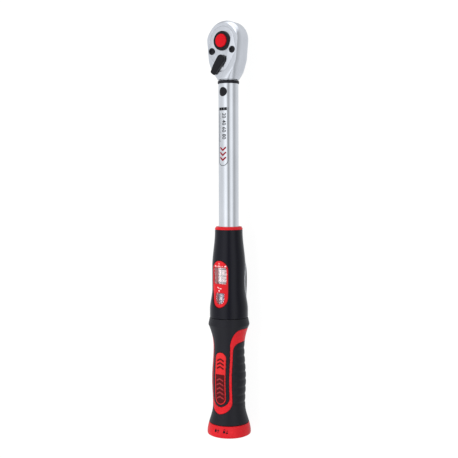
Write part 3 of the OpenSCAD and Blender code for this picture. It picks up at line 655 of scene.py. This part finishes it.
def make_head():
    """The forged head: flat faces, a rounded lower edge, and a neck drawn down to a round."""
    low_r, high_r = 6.8, 0.3
    lean, slope = 7.14, 0.42

    def wall(depth):
        """How far the wall draws in, at a depth below the face: a steady lean that fades out."""
        steady = lean - 2 * (lean - BULGE / slope)
        fall = lean - steady
        return slope * (max(0, steady - depth) + (fall / 2 if depth < steady else
                                                  max(0, lean - depth) ** 2 / (2 * fall)))

    levels = [(inset, HEAD_BOTTOM) for inset in (11.4, 9.8, 8.4, 7.2)]
    levels += [(low_r - low_r * math.sin(a), HEAD_BOTTOM + low_r - low_r * math.cos(a))
               for a in quarter(8)]
    levels += [(0, HEAD_BOTTOM + low_r + (HEAD_T / 2 - low_r) * t) for t in (0.25, 0.5, 0.75, 1)]
    levels += [(wall(depth), HEAD_TOP - depth)
               for depth in (8, 6.5, 5.6, 5, 4.4, 3.8, 3.2, 2.6, 2, 1.5, 1, 0.5)]
    levels += [(BULGE + high_r - high_r * math.cos(a), HEAD_TOP - high_r + high_r * math.sin(a))
               for a in quarter(5)]
    levels += [(inset, HEAD_TOP) for inset in (2.4, 3.5, 5.5, 7.5, 9.5, 11.4)]
    outer_points = fine_outline(HEAD_CIRCLES, 0)
    inner_points = fine_outline(HEAD_CIRCLES, 1)
    rings = []
    for inset, z in levels:
        ring = []
        dome = max(0, 1 - (HEAD_TOP - z) / 7) ** 2 * (1 - max(0, inset - BULGE) / 11)
        for (x, y), start, end in zip(fine_outline(HEAD_CIRCLES, inset), outer_points, inner_points):
            drawn = 1.7 * dome * float(ease(between(-start[0], 2, 15)))
            x, y = x + drawn * (end[0] - start[0]), y + drawn * (end[1] - start[1])
            reach = math.hypot(y, z - AXIS)
            limit = float(neck_limit(x))
            excess = min(60.0, (reach - limit) / 0.5)
            scale = (reach - 0.5 * math.log(1 + math.exp(excess))) / max(reach, 1e-6)
            ring.append((x, y * scale, AXIS + (z - AXIS) * scale))
        rings.append(ring)
    head = add_object("forged_head", make_mesh("forged_head", *stack(rings)))
    far = 60
    beyond_neck = [(NECK_END, -far), (NECK_END + far, -far), (NECK_END + far, far), (NECK_END, far)]
    hub_floor = AXIS - 7.3
    cut(head, beyond_neck, AXIS - far, AXIS + far)
    cut(head, hull_outline(PLATE_CIRCLES, -0.12), HEAD_TOP - 2.5, HEAD_TOP + 5)
    cut(head, circle(0, 13.3), hub_floor, HEAD_TOP)
    cut(head, circle(LEVER_X - 3, 10.4), hub_floor, HEAD_TOP)
    cut(head, circle(0, 10.55), 0, AXIS)
    bevel(head, 0.18)
    tang_end = x_range("ratchet_head")[1]
    join(head, *lathe_mesh(rounded([(NECK_END - 1, 0, 0), (NECK_END - 1, 8.6, 0), (66, 8.6, 1), (68, 6.7, 1),
                                    (tang_end, 6.7, 0.6), (tang_end, 0, 0)]),
                           lambda u, r, a: on_tool(u, a, r)))
    dress(head, CHROME, "head", "satin_chrome", ["ratchet_head"])


def join(obj, verts, faces):
    """Adds a form to a piece's mesh."""
    added = make_mesh("added", verts, faces)
    bm = bmesh.new()
    bm.from_mesh(obj.data)
    bm.from_mesh(added)
    bm.to_mesh(obj.data)
    bm.free()
    bpy.data.meshes.remove(added)


def make_plate():
    plate = add_object("plate", make_mesh("plate", *prism(hull_outline(PLATE_CIRCLES, 0), HEAD_TOP - 2.5,
                                                          HEAD_TOP)))
    cut(plate, circle(0, 9.5), 0, 60)
    cut(plate, circle(LEVER_X, 3.3, 48), 0, 60)
    bevel(plate, 0.15)
    dress(plate, CHROME, "head", "satin_chrome", ["cover_plate"])


def make_screws():
    """Socket screws: a low round head with a six-sided socket."""
    top = size_of("cover_screws")[1].z
    r, edge, count = 3.7, 0.5, 96

    def ring(radius, z, sides=0):
        """A round ring, or one with flat sides."""
        points = []
        for k in range(count):
            a = 2 * math.pi * k / count
            reach = radius
            if sides:
                half = math.pi / sides
                reach *= math.cos(half) / math.cos(a % (2 * half) - half)
            points.append((SCREW_X + reach * math.cos(a), y + reach * math.sin(a), z))
        return points

    for side, name in ((-1, "left"), (1, "right")):
        y = SCREW_Y * side
        rings = [ring(1.5, HEAD_TOP - 8), ring(1.5, HEAD_TOP), ring(r, HEAD_TOP)]
        rings += [ring(r - edge + edge * math.cos(a), top - edge + edge * math.sin(a))
                  for a in quarter(5)]
        rings += [ring(2.1, top), ring(1.8, top - 0.1, 6), ring(1.75, HEAD_TOP + 0.1, 6),
                  ring(0.9, HEAD_TOP + 0.06)]
        piece("screw_" + name, *stack(rings), BLACK_STEEL, "head", "black_steel", ["cover_screws"])


def make_button():
    low, high = size_of("release_button")
    ring_low, ring_high = size_of("hub_ring")
    r, top = high.y - 0.25, high.z - 0.7
    ring_r = ring_high.y - 0.7
    upright("button", [(low.z, 0, 0), (low.z, r, 0.3), (top - 0.1, r, 0.8), (top, 2, 8), (top, 0, 0)],
            RED_BUTTON, "release", "red_plastic", ["release_button"])
    upright("button_ring", [(ring_low.z, 8.8, 0), (ring_low.z, ring_r, 0.2), (ring_high.z, ring_r, 0.7),
                            (ring_high.z, r + 0.2, 0.3), (ring_low.z, r + 0.2, 0)],
            BLACK_STEEL, "drive", "black_steel", ["hub_ring"], closed=True)


def make_lever():
    """The reversing lever: a round boss that runs into a thick arm with a rounded tip."""
    start = math.radians(-36)
    length, tip = 18.8, 4.0
    low = HEAD_TOP + 0.15
    circles = [(0, 0, 5), (length - 2, tip - 3.1, 2), (length - 2, 2 - tip, 2)]
    edge = 0.9
    levels = [(0.3, 0, 0), (0, 0.3, 0), (0, 0.6, 0), (0, 0.85, 0)]
    levels += [(edge - edge * math.cos(a), 1, edge * math.sin(a)) for a in quarter(5)]
    levels += [(inset, 1, edge) for inset in (1.3, 2.0)]
    rings = []
    for inset, share, rise in levels:
        ring = []
        for (x, y), (at, _) in zip(fine_outline(circles, inset), fine_outline(circles, min(inset, edge))):
            height = 3.6 - 1.1 * float(ease(between(at, 9, length))) + 0.25 * float(ease(between(at, -5, 4)))
            ring.append((LEVER_X + x * math.cos(start) - y * math.sin(start),
                         x * math.sin(start) + y * math.cos(start), low + share * (height - edge) + rise))
        rings.append(ring)
    lever = add_object("lever_arm", make_mesh("lever_arm", *stack(rings)))
    join(lever, *lathe_mesh([(AXIS - 9.5, 0), (AXIS - 9.5, 3.2), (low + 0.5, 3.2), (low + 0.5, 0)],
                            lambda u, r, a: (LEVER_X + r * math.cos(a), r * math.sin(a), u)))
    dress(lever, BLACK_STEEL, "lever", "black_steel", ["reversing_lever"])


# ---------- tube and sleeve ----------

def even_steps(x0, x1, dx):
    """Even steps over a stretch, with one more on each side."""
    return np.linspace(x0 - dx, x1 + dx, round((x1 - x0) / dx) + 3)


def over(radius, rise, edge):
    """A piece's outer surface, at a rise over a radius, with its border rounded to edge."""
    return lambda x, phi, depth: radius(x) + rise - soft_edge(depth, edge)


def under(radius, depth):
    """A piece's inner surface, at a depth under a radius that changes along the tool."""
    return lambda x, phi: radius(x) - depth


def make_neck_seal():
    low, high = size_of("neck_seal")
    front_x, back_x, inner_r = low.x + 0.3, high.x + 0.3, TUBE_R - 0.75
    turned("seal_ring", [(front_x, TUBE_R - 1.75, 0.2), (front_x, high.y, 1.2), (back_x, high.y, 1.2),
                         (back_x, TUBE_R, 0), (high.x, TUBE_R, 0), (high.x, inner_r, 0),
                         (low.x + 1.2, inner_r, 0), (low.x + 1.2, TUBE_R - 1.75, 0)],
           BLACK_SOFT, "barrel", "black_soft", ["neck_seal"], closed=True)


def make_sleeve():
    ring_x = RING_END - 0.05
    turned("front_ring", [(BODY_X, TUBE_R, 0), (BODY_X, BODY_FRONT_R - 1.3, 0.5),
                          (BODY_X + 2.2, BODY_FRONT_R, 0.8), (ring_x, BODY_FRONT_R, 0.25),
                          (ring_x, TUBE_R, 0)],
           RED_PLASTIC, "barrel", "red_plastic", ["body_ring"], closed=True)
    xs = np.linspace(RING_END + 0.05, BODY_END, round((BODY_END - RING_END) / 0.5) + 1)
    phis = np.linspace(-math.pi, math.pi, 300, endpoint=False)

    def field(x, phi):
        frame_hole = np.where(np.cos(phi) > 0, -frame_shape(x, frame_y(x, phi)), -9)
        return np.maximum(frame_hole, -oval(x, phi))

    def outer(x, phi, depth):
        end = soft_edge(BODY_END - x, 0.4) + soft_edge(x - RING_END - 0.05, 0.4)
        return body_radius(x) - soft_edge(depth, 0.6) - end

    skin("sleeve", xs, phis, field, outer, under(body_radius, 2.6), BLACK_PLASTIC, "barrel", "black_plastic",
         ["body_shell"])


def make_window_frame():
    xs = even_steps(FRAME_X0, FRAME_X1, 0.35)
    limit = math.asin((FRAME_R + 0.6) / (BODY_MID_R - 0.5))
    phis = np.linspace(-limit, limit, 90)

    def field(x, phi, inset=0.0):
        """The frame without its two windows."""
        y = frame_y(x, phi)
        return np.maximum(frame_shape(x, y) + inset, -np.minimum(main_shape(x, y), fine_shape(x, y)))

    skin("red_frame", xs, phis, field, over(frame_level, FRAME_PROUD, 0.8), under(frame_level, 2),
         RED_PLASTIC, "barrel", "red_plastic", ["window_frame"])
    skin("window_well", xs, phis, lambda x, phi: field(x, phi, 0.4),
         lambda x, phi, depth: frame_level(x) - 1.95,
         lambda x, phi: np.where(x < FINE_X0 - 3.2, 13.2, 14.75), WELL, "barrel", "black_plastic")
    for name, shape, node in (("main_window", main_shape, "main_lens"),
                              ("fine_window", fine_shape, "fine_lens")):
        skin(name, xs, phis, lambda x, phi: shape(x, frame_y(x, phi)), over(frame_level, -0.3, 0.3),
             under(frame_level, 1.5), GLASS, "barrel", "clear", [node])


def make_rear_cover():
    xs = even_steps(COVER_X - COVER_A, COVER_X + COVER_A, 0.5)
    half_turn = (COVER_B + 0.6) / (BODY_MID_R - 0.4)
    phis = np.linspace(math.pi - half_turn, math.pi + half_turn, 220)
    rim = 1.6

    def proud(x, phi):
        """The cover's height above the sleeve: it rises from its border to a flat middle."""
        return 0.15 + 1.45 * ease(-oval(x, phi) / 7)

    # The rim is coloured light grey as a painted highlight along the cover's rounded border.
    skin("cover_rim", xs, phis, lambda x, phi: np.maximum(oval(x, phi), -oval(x, phi) - rim),
         lambda x, phi, depth: body_radius(x) + proud(x, phi) - soft_edge(-oval(x, phi), 1),
         under(body_radius, 1.4), RIM_HIGHLIGHT_PAINT, "barrel", "black_plastic")
    skin("cover_face", xs, phis, lambda x, phi: oval(x, phi) + rim,
         lambda x, phi, depth: body_radius(x) + proud(x, phi) - soft_edge(depth, 0.3),
         under(body_radius, 1.4), BLACK_PLASTIC, "barrel", "black_plastic", ["rear_cover"])


# ---------- grip ----------

def unrolled(x, phi):
    """Sideways place on the grip: as seen from the front, and past the sides along the surface."""
    r = grip_radius(x)
    turn = np.abs((phi + math.pi) % (2 * math.pi) - math.pi)
    return np.where(turn < math.pi / 2, r * np.sin(turn), r * (1 + turn - math.pi / 2))


def panel_y(x, phi):
    """Sideways place on the panel, which sits a little turned on the grip."""
    return grip_radius(x) * np.sin(phi - PANEL_TURN)


def panel_shape(x, phi):
    return stadium(x, panel_y(x, phi), PANEL_X0, PANEL_X1, PANEL_R)


def make_grip():
    xs = np.linspace(GRIP_X, GRIP_END, round((GRIP_END - GRIP_X) / 0.5) + 1)
    phis = np.linspace(-math.pi, math.pi, 252, endpoint=False)

    def tongue(x, phi):
        return edge_distance(x, unrolled(x, phi), tongue_edge)

    def stripe(x, phi):
        return edge_distance(x, unrolled(x, phi), stripe_edge)

    def front(x, phi):
        return np.maximum(tongue(x, phi), -np.where(np.cos(phi) > 0, panel_shape(x, phi), 5))

    skin("front_pad", xs, phis, front,
         lambda x, phi, depth: grip_radius(x) - soft_edge(depth, 0.8) - soft_edge(x - GRIP_X, 0.3),
         under(grip_radius, PAD_T), BLACK_SOFT, "grip", "black_soft", ["grip_front_pad"])
    skin("red_band", xs, phis, lambda x, phi: np.maximum(-tongue(x, phi), stripe(x, phi)),
         over(grip_radius, -0.05, 0.4), under(grip_radius, PAD_T),
         RED_PLASTIC, "grip", "red_plastic", ["grip_core"])
    rib_x, pitch, count = WAIST_X + 1, 8.6, 8
    last_x = rib_x + (count - 1) * pitch

    def rear_radius(x, phi, depth):
        """The rear pad has grooves across it, which fade out at its front, its back and its border."""
        along = (x - rib_x) / pitch
        begun = ease(between(x, rib_x - 0.6 * pitch, rib_x))
        ended = ease(between(x, last_x, last_x + 0.6 * pitch))
        wave = along - np.floor(along)
        groove = np.exp(-((np.minimum(wave, 1 - wave)) * pitch / 1.7) ** 2)
        sunk = 0.6 * groove * begun * (1 - ended) * ease(between(depth, 1.0, 3.5))
        return grip_radius(x) - soft_edge(depth, 0.8) - sunk - soft_edge(GRIP_END - x, 0.5)

    skin("rear_pad", xs, phis, lambda x, phi: -stripe(x, phi), rear_radius, under(grip_radius, PAD_T),
         BLACK_SOFT, "grip", "black_soft", ["grip_rear_pad"])


def make_panel():
    """The red panel in the tongue: a plain upper part, and a sunk dark field with raised bars below."""
    xs = even_steps(PANEL_X0, PANEL_X1, 0.3)
    limit = math.asin((PANEL_R + 0.5) / WAIST_R)
    phis = np.linspace(-limit, limit, 60) + PANEL_TURN
    split = PANEL_X0 + 0.42 * (PANEL_X1 - PANEL_X0)
    rim, lean, half_row = 1.0, 0.55, PANEL_R - 2.2

    def sunk(x, phi):
        return np.maximum(panel_shape(x, phi) + rim, split - x)

    def chevrons(x, phi, x0, x1, pitch, half):
        """Distance to a row of chevrons across the panel."""
        y = panel_y(x, phi)
        along = x - lean * np.abs(y)
        wave = np.abs((along - x0) / pitch - np.round((along - x0) / pitch)) * pitch
        inside = np.maximum(np.abs(y) - half_row, np.maximum(x0 - half - along, along - x1 - half))
        return np.maximum(wave - half, inside)

    def marks_up(x, phi):
        return np.maximum(chevrons(x, phi, PANEL_X0 + 7, split - 6.5, 4.2, 0.85), x - split + 1)

    def marks_low(x, phi):
        return np.maximum(chevrons(x, phi, split + 4.5, PANEL_X1 - 8.5, 5.0, 0.95), split + 1 - x)

    skin("panel_face", xs, phis,
         lambda x, phi: np.maximum(np.maximum(panel_shape(x, phi), -sunk(x, phi)), -marks_up(x, phi)),
         over(grip_radius, 0.25, 0.45), under(grip_radius, PAD_T),
         RED_PANEL, "grip", "red_plastic", ["grip_panel"])
    skin("panel_field", xs, phis, lambda x, phi: np.minimum(sunk(x, phi), marks_up(x, phi)) - 0.1,
         lambda x, phi, depth: grip_radius(x) - 0.35,
         under(grip_radius, 1.5), DARK_RED, "grip", "red_plastic")
    skin("panel_bars", xs, phis, marks_low, over(grip_radius, 0.2, 0.4), under(grip_radius, 1.2),
         RED_BARS, "grip", "red_plastic")


def make_lock_ring():
    """The lock ring, with the end plug and the part of the core that the ring slides on."""
    outside = [(x, float(grip_radius(x)), 0) for x in np.linspace(LOCK_X0, FLARE_X1, 24)]
    outside[0] = (*outside[0][:2], 0.3)
    bore, core_r, plug_r = 15.3, 15.2, 11
    end = [(LOCK_X1 - 1.3, FLARE_R - 0.15, 0.8), (LOCK_X1 - 0.5, FLARE_R - 1.8, 0.8), (LOCK_X1, bore, 0.3)]
    turned("red_lock_ring", [(LOCK_X0, bore, 0.2)] + outside + end,
           RED_PLASTIC, "lock", "red_plastic", ["lock_ring"], closed=True)
    x0, x1 = x_range("end_plug")
    turned("plug", [(x0, 0, 0), (x0, plug_r, 0.3), (x1 - 1.5, plug_r, 0), (x1 - 1.5, core_r, 0),
                    (x1, core_r, 0.5), (x1, plug_r, 0.2), (x1 - 0.5, plug_r - 0.4, 0.2), (x1 - 0.5, 0, 0)],
           BLACK_PLASTIC, "grip", "black_plastic", ["end_plug"])
    core_end = x_range("grip_core")[1]
    turned("grip_spigot", [(GRIP_END - 2, plug_r, 0), (GRIP_END - 2, core_r, 0),
                           (core_end, core_r, 0), (core_end, plug_r, 0)],
           RED_PLASTIC, "grip", "red_plastic", closed=True)


# ---------- printed marks, as thin raised forms ----------

def ribbon(path, width, radius):
    """A thin raised line along a path (x, s), where s runs round the surface from the front."""
    lift, sunk = 0.08, 0.25
    fine = []
    for (x0, s0), (x1, s1) in zip(path, path[1:]):
        fine += straight(x0, s0, x1, s1, max(1, math.ceil(math.dist((x0, s0), (x1, s1)) / 0.6)))[:-1]
    path = fine + [path[-1]]
    last = len(path) - 1
    verts = []
    for i, (x, s) in enumerate(path):
        before, after = path[max(i - 1, 0)], path[min(i + 1, last)]
        dx, ds = after[0] - before[0], after[1] - before[1]
        length = math.hypot(dx, ds)
        nx, ns = -ds / length * width / 2, dx / length * width / 2
        for side in (1, -1):
            r = float(radius(x + side * nx))
            turn = (s + side * ns) / r
            verts += [on_tool(x + side * nx, turn, r + lift), on_tool(x + side * nx, turn, r - sunk)]
    faces = []
    for p in range(0, 4 * last, 4):
        q = p + 4
        faces += [(p, q, q + 2, p + 2), (p + 1, p + 3, q + 3, q + 1)]
        faces += [(p, p + 1, q + 1, q), (p + 2, q + 2, q + 3, p + 3)]
    end = 4 * last
    faces += [(0, 2, 3, 1), (end, end + 1, end + 3, end + 2)]
    return verts, faces


def straight(x0, s0, x1, s1, steps):
    return [(x0 + (x1 - x0) * i / steps, s0 + (s1 - s0) * i / steps) for i in range(steps + 1)]


def bow(x, s, r, start, end, steps):
    return [(x + r * math.cos(a), s + r * math.sin(a))
            for a in (start + (end - start) * i / steps for i in range(steps + 1))]


def line(x0, s0, x1, s1, width, radius, steps):
    return ribbon(straight(x0, s0, x1, s1, steps), width, radius)


def numeral(text, height, x, s, radius, along=False):
    """A plain number on the surface. along=True sets it lengthways on the tool."""
    lift, sunk = 0.1, 0.25
    curve = bpy.data.curves.new("numeral", "FONT")
    configure(curve, body=text, size=height * 1.4, align_x="CENTER", align_y="CENTER", extrude=1,
              offset=0.02 * height, resolution_u=3)
    obj = add_object("numeral", curve)
    bpy.context.view_layer.update()
    mesh = bpy.data.meshes.new_from_object(obj.evaluated_get(bpy.context.evaluated_depsgraph_get()))
    verts = []
    for vertex in mesh.vertices:
        u, v, w = vertex.co
        px, ps = (x + u, s + v) if along else (x - v, s + u)
        r = float(radius(px))
        verts.append(on_tool(px, ps / r, r + lift if w > 0 else r - sunk))
    faces = [list(polygon.vertices) for polygon in mesh.polygons]
    bpy.data.objects.remove(obj)
    bpy.data.meshes.remove(mesh)
    bpy.data.curves.remove(curve)
    return verts, faces


def fixed(r):
    """A radius that stays the same along the tool."""
    return lambda x: r


def print_marks(name, parts, material, body, slot):
    """Joins several thin forms into one piece."""
    verts, faces = [], []
    for part_verts, part_faces in parts:
        start = len(verts)
        verts += part_verts
        faces += [[i + start for i in face] for face in part_faces]
    piece(name, verts, faces, material, body, slot, sharp=60)


def make_tube_label():
    """A plain ruled label on the tube, with a number line and three chevrons."""
    tube = fixed(TUBE_R)
    x0, x1, half = TUBE_X + 26.1, TUBE_X + 89.3, 6.1
    path = straight(x0, -half, x1 - half, -half, 20)[:-1]
    path += bow(x1 - half, 0, half, -math.pi / 2, math.pi / 2, 24)
    path += straight(x1 - half, half, x0, half, 20)[1:]
    marks = [ribbon(path, 0.75, tube)]
    ruler_x = x0 + 7
    for i in range(31):
        reach = 1.9 if i % 5 == 0 else 1.2
        marks.append(line(ruler_x + i, -4.8, ruler_x + i, -4.8 + reach, 0.4, tube, 3))
    print_marks("label_border", marks, GREY_INK, "barrel", "satin_chrome")
    dark = [line(x0 + 1.7, -5 + 3.4 * k, x0 + 1.7, -1.9 + 3.4 * k, 3.2, tube, 4) for k in range(3)]
    dark += [numeral(str(20 + 20 * i), 4.2, ruler_x + 2 + 7.6 * i, 1.4, tube, along=True) for i in range(4)]
    print_marks("label_numbers", dark, INK, "barrel", "satin_chrome")
    chevrons = []
    for i in range(3):
        x = x1 - 20 + 5.4 * i
        arrow = [(x, -3.8), (x + 1.7, -1.9), (x + 3.4, 0), (x + 1.7, 1.9), (x, 3.8)]
        chevrons.append(ribbon(arrow, 1.7, tube))
    print_marks("label_chevrons", chevrons, RED_INK, "barrel", "satin_chrome")


def make_scales():
    """The main scale on the slider and the fine scale on the drum."""
    low, high = size_of("scale_slider")
    slider_r = high.z - AXIS + 0.45
    card_w = WINDOW_W / 2 + 0.2
    limit = math.asin((card_w + 0.8) / slider_r)
    middle, half = (low.x + high.x) / 2, (high.x - low.x) / 2 - 0.3

    def card(x, phi):
        return np.maximum(np.abs(slider_r * np.sin(phi)) - card_w, np.abs(x - middle) - half)

    skin("scale_card", np.linspace(low.x, high.x, 60), np.linspace(-limit, limit, 60), card,
         lambda x, phi, depth: slider_r + 0 * x, lambda x, phi: slider_r - 0.45 + 0 * x,
         WHITE, "nut", "white_scale")
    slider = fixed(slider_r)
    pitch = 3.6
    half = slider_r * math.asin(card_w / slider_r) - 0.3
    x0 = WINDOW_X0 + 2.4
    lines, numbers = [], []
    for i in range(12):
        x = x0 + i * pitch
        if i % 2 == 0:
            lines.append(line(x, -half, x, half, 0.7, slider, 10))
            numbers.append(numeral(str(20 + 10 * i), 1.5, x + pitch, -half / 2, slider))
            numbers.append(numeral(str(15 + 7 * i), 1.5, x + pitch, half / 2, slider))
        else:
            lines.append(line(x, half - 1, x, half, 0.3, slider, 3))
            lines.append(line(x, -half, x, 1 - half, 0.3, slider, 3))
    lines.append(line(WINDOW_X0 - 1, 0, x0 + 11.5 * pitch, 0, 0.8, slider, 20))
    print_marks("main_scale_lines", lines, GREY_INK, "nut", "white_scale")
    print_marks("main_scale_numbers", numbers, GREY_INK, "nut", "white_scale")
    drum_r = half_width("scale_drum")
    drum = fixed(drum_r)
    ticks = []
    for i in range(20):
        s = 2 * math.pi * drum_r * i / 20
        ticks.append(line(FINE_X0 + 0.4, s, FINE_X0 + (3.2 if i % 2 == 0 else 2.0), s, 0.4, drum, 2))
        if i % 2 == 0:
            ticks.append(numeral(str(i // 2), 3.0, FINE_X0 + 6.2, s, drum))
    print_marks("fine_scale", ticks, WHITE_INK, "grip", "white_scale")


def make_frame_print():
    """White index marks on the red window frame."""
    def surface(x):
        return float(frame_level(x)) + FRAME_PROUD

    marks = [line(WINDOW_X0 - 5.2, 0, WINDOW_X0 - 3.4, 0, 0.5, surface, 3)]
    for k in (-4, -3, -1, 0, 1, 3, 5, 6):
        reach = 1.6 if k % 2 == 0 else 1.0
        marks.append(line(WINDOW_X0 - 0.9 - reach, 1.35 * k, WINDOW_X0 - 0.9, 1.35 * k, 0.75, surface, 3))
    for s, x in ((-1.9, 3.6), (-0.6, 4.3), (1.2, 4.9), (2.4, 5.1)):
        marks.append(line(WINDOW_X1 + x, s - 0.35, WINDOW_X1 + x, s + 0.55, 1.0, surface, 3))
    tip = FINE_X0 - 1.6
    marks.append(([on_tool(x, s / surface(x), surface(x) + h) for h in (0.06, -0.25)
                   for x, s in ((tip - 1.7, -1.0), (tip - 1.7, 1.0), (tip, 0))],
                  [(0, 1, 2), (5, 4, 3), (0, 3, 4, 1), (1, 4, 5, 2), (2, 5, 3, 0)]))
    print_marks("frame_print", marks, WHITE_INK, "barrel", "red_plastic")


def make_lock_icons():
    """A closed and an open padlock, each with an arrow, on the lock ring."""
    def ring(x):
        return float(grip_radius(x))

    middle = LOCK_X0 + 6
    parts = []
    for s, out in ((0.0, 0), (ring(middle) * math.radians(25), 1)):
        parts.append(line(middle - 0.4, s - 2.7, middle - 0.4, s - 0.3, 2.4, ring, 4))
        shackle = bow(middle - 1.6 - 0.6 * out, s - 1.5, 0.85, math.pi / 2, 1.5 * math.pi, 20)
        parts.append(ribbon(shackle, 0.6, ring))
        x0, x1 = (middle - 2.3, middle + 1.4) if out else (middle + 1.4, middle - 2.3)
        sign = 1 if x1 > x0 else -1
        parts.append(line(x0, s + 1.7, x1, s + 1.7, 0.7, ring, 4))
        arrow = [(x1 - sign * 1.3, s + 0.5), (x1, s + 1.7), (x1 - sign * 1.3, s + 2.9)]
        parts.append(ribbon(arrow, 0.6, ring))
    print_marks("lock_icons", parts, INK, "lock", "red_plastic")


make_head()
make_plate()
make_screws()
make_button()
make_lever()
make_neck_seal()
make_sleeve()
make_window_frame()
make_rear_cover()
make_grip()
make_panel()
make_lock_ring()
make_tube_label()
make_scales()
make_frame_print()
make_lock_icons()


# ---------- camera, lights and floor ----------

def make_camera():
    """The camera that was fitted to the photograph, with its small shift and roll."""
    data = bpy.data.cameras.new("camera")
    data.lens = 62.9
    data.sensor_width = 36
    camera = add_object("camera", data)
    shift, roll = 0.00028, math.radians(0.13)
    place = Vector((0.1503, 0.5076, AXIS * MM + 0.7249))
    target = Vector((0.2044, 0, AXIS * MM))
    back = (place - target).normalized()
    right = Vector((-1, 0, 0)).cross(back).normalized()
    up = back.cross(right)
    place += shift * right
    right, up = right - roll * up, up + roll * right
    camera.matrix_world = Matrix.Translation(place) @ Matrix((right, up, back)).transposed().to_4x4()
    bpy.context.scene.camera = camera


def make_floor():
    """A floor that looks white to the camera, and plain grey to the light from the tool."""
    mesh = bpy.data.meshes.new("floor")
    half = 6
    corners = [(-half, -half, 0), (half, -half, 0), (half, half, 0), (-half, half, 0)]
    mesh.from_pydata(corners, [], [(0, 1, 2, 3)])
    floor = add_object("floor", mesh)
    material = bpy.data.materials.new("floor")
    material.use_nodes = True
    tree = material.node_tree
    tree.nodes.clear()
    dark = add_node(tree, "BsdfDiffuse", {"Color": (0.1, 0.1, 0.1, 1)}).outputs[0]
    plain = add_node(tree, "BsdfDiffuse", {"Color": (0.8, 0.8, 0.8, 1)}).outputs[0]
    glow = add_node(tree, "Emission", {"Strength": 0.93}).outputs[0]
    bright = add_node(tree, "AddShader", {0: dark, 1: glow}).outputs[0]
    seen = add_node(tree, "LightPath", {}).outputs["Is Camera Ray"]
    mix = add_node(tree, "MixShader", {"Fac": seen, 1: plain, 2: bright}).outputs[0]
    add_node(tree, "OutputMaterial", {"Surface": mix})
    mesh.materials.append(material)
    floor.visible_glossy = False


def make_lamp(name, place, size, power):
    data = bpy.data.lights.new(name, "AREA")
    configure(data, shape="RECTANGLE", size=size[0], size_y=size[1], energy=power)
    lamp = add_object(name, data)
    lamp.location = place
    lamp.rotation_euler = (Vector((0.2, 0, 0.03)) - Vector(place)).to_track_quat("-Z", "Y").to_euler()
    lamp.visible_glossy = False


# Brightness round the tool for what its metal mirrors, by the angle from straight up towards +Y.
STUDIO_BANDS = [(-180, 0.72), (-93, 0.76), (-54, 0.73), (-39, 0.75), (-25, 0.84), (-12, 1.04), (0, 1.14),
                (12, 1.06), (22, 0.8), (31, 0.46), (39, 0.46), (49, 0.72), (58, 0.96), (70, 1.03), (81, 0.87),
                (93, 0.53), (105, 0.46), (121, 0.59), (141, 0.71), (163, 0.77), (180, 0.74)]
BRIGHTEST = 1.14


def make_world():
    """White for the camera, bands for what mirrors, and even light for the rest."""
    world = bpy.data.worlds.new("studio")
    bpy.context.scene.world = world
    world.use_nodes = True
    tree = world.node_tree
    tree.nodes.clear()
    coords = add_node(tree, "TexCoord", {}).outputs["Generated"]
    x, y, z = add_node(tree, "SeparateXYZ", {0: coords}).outputs
    share = spread(tree, calculate(tree, "ARCTAN2", y, z), 0, 1, -math.pi, math.pi)
    white = (0.955, 0.98, 1.02)
    bands = ramp(tree, share, [((a + 180) / 360, tint(white, v / BRIGHTEST)) for a, v in STUDIO_BANDS])
    window = spread(tree, x, 2.1, 1, -0.87, -0.7)
    ahead, aside = spread(tree, x, 1, 0, -0.75, -0.55), spread(tree, y, 0.5, 0, -0.5, -0.1)
    corner = calculate(tree, "MULTIPLY", ahead, aside)
    power = calculate(tree, "MULTIPLY", window, calculate(tree, "SUBTRACT", 1, corner))
    power = calculate(tree, "MULTIPLY", power, BRIGHTEST)
    studio = add_node(tree, "Background", {"Color": bands, "Strength": power}).outputs[0]
    backdrop = add_node(tree, "Background", {"Color": (1, 1, 1, 1)}).outputs[0]
    soft = add_node(tree, "Background", {"Color": (1, 1, 1, 1), "Strength": 0.62}).outputs[0]
    path = add_node(tree, "LightPath", {}).outputs
    seen = calculate(tree, "MAXIMUM", path["Is Camera Ray"], path["Is Transmission Ray"])
    light = add_node(tree, "MixShader", {"Fac": path["Is Glossy Ray"], 1: soft, 2: studio}).outputs[0]
    whole = add_node(tree, "MixShader", {"Fac": seen, 1: light, 2: backdrop}).outputs[0]
    add_node(tree, "OutputWorld", {"Surface": whole})


make_camera()
make_floor()
make_lamp("key", (0.1, -0.35, 1.0), (0.9, 0.6), 9)
make_lamp("fill", (0.35, 0.9, 0.8), (0.8, 0.8), 5)
make_world()
bpy.context.scene.view_settings.view_transform = "Standard"
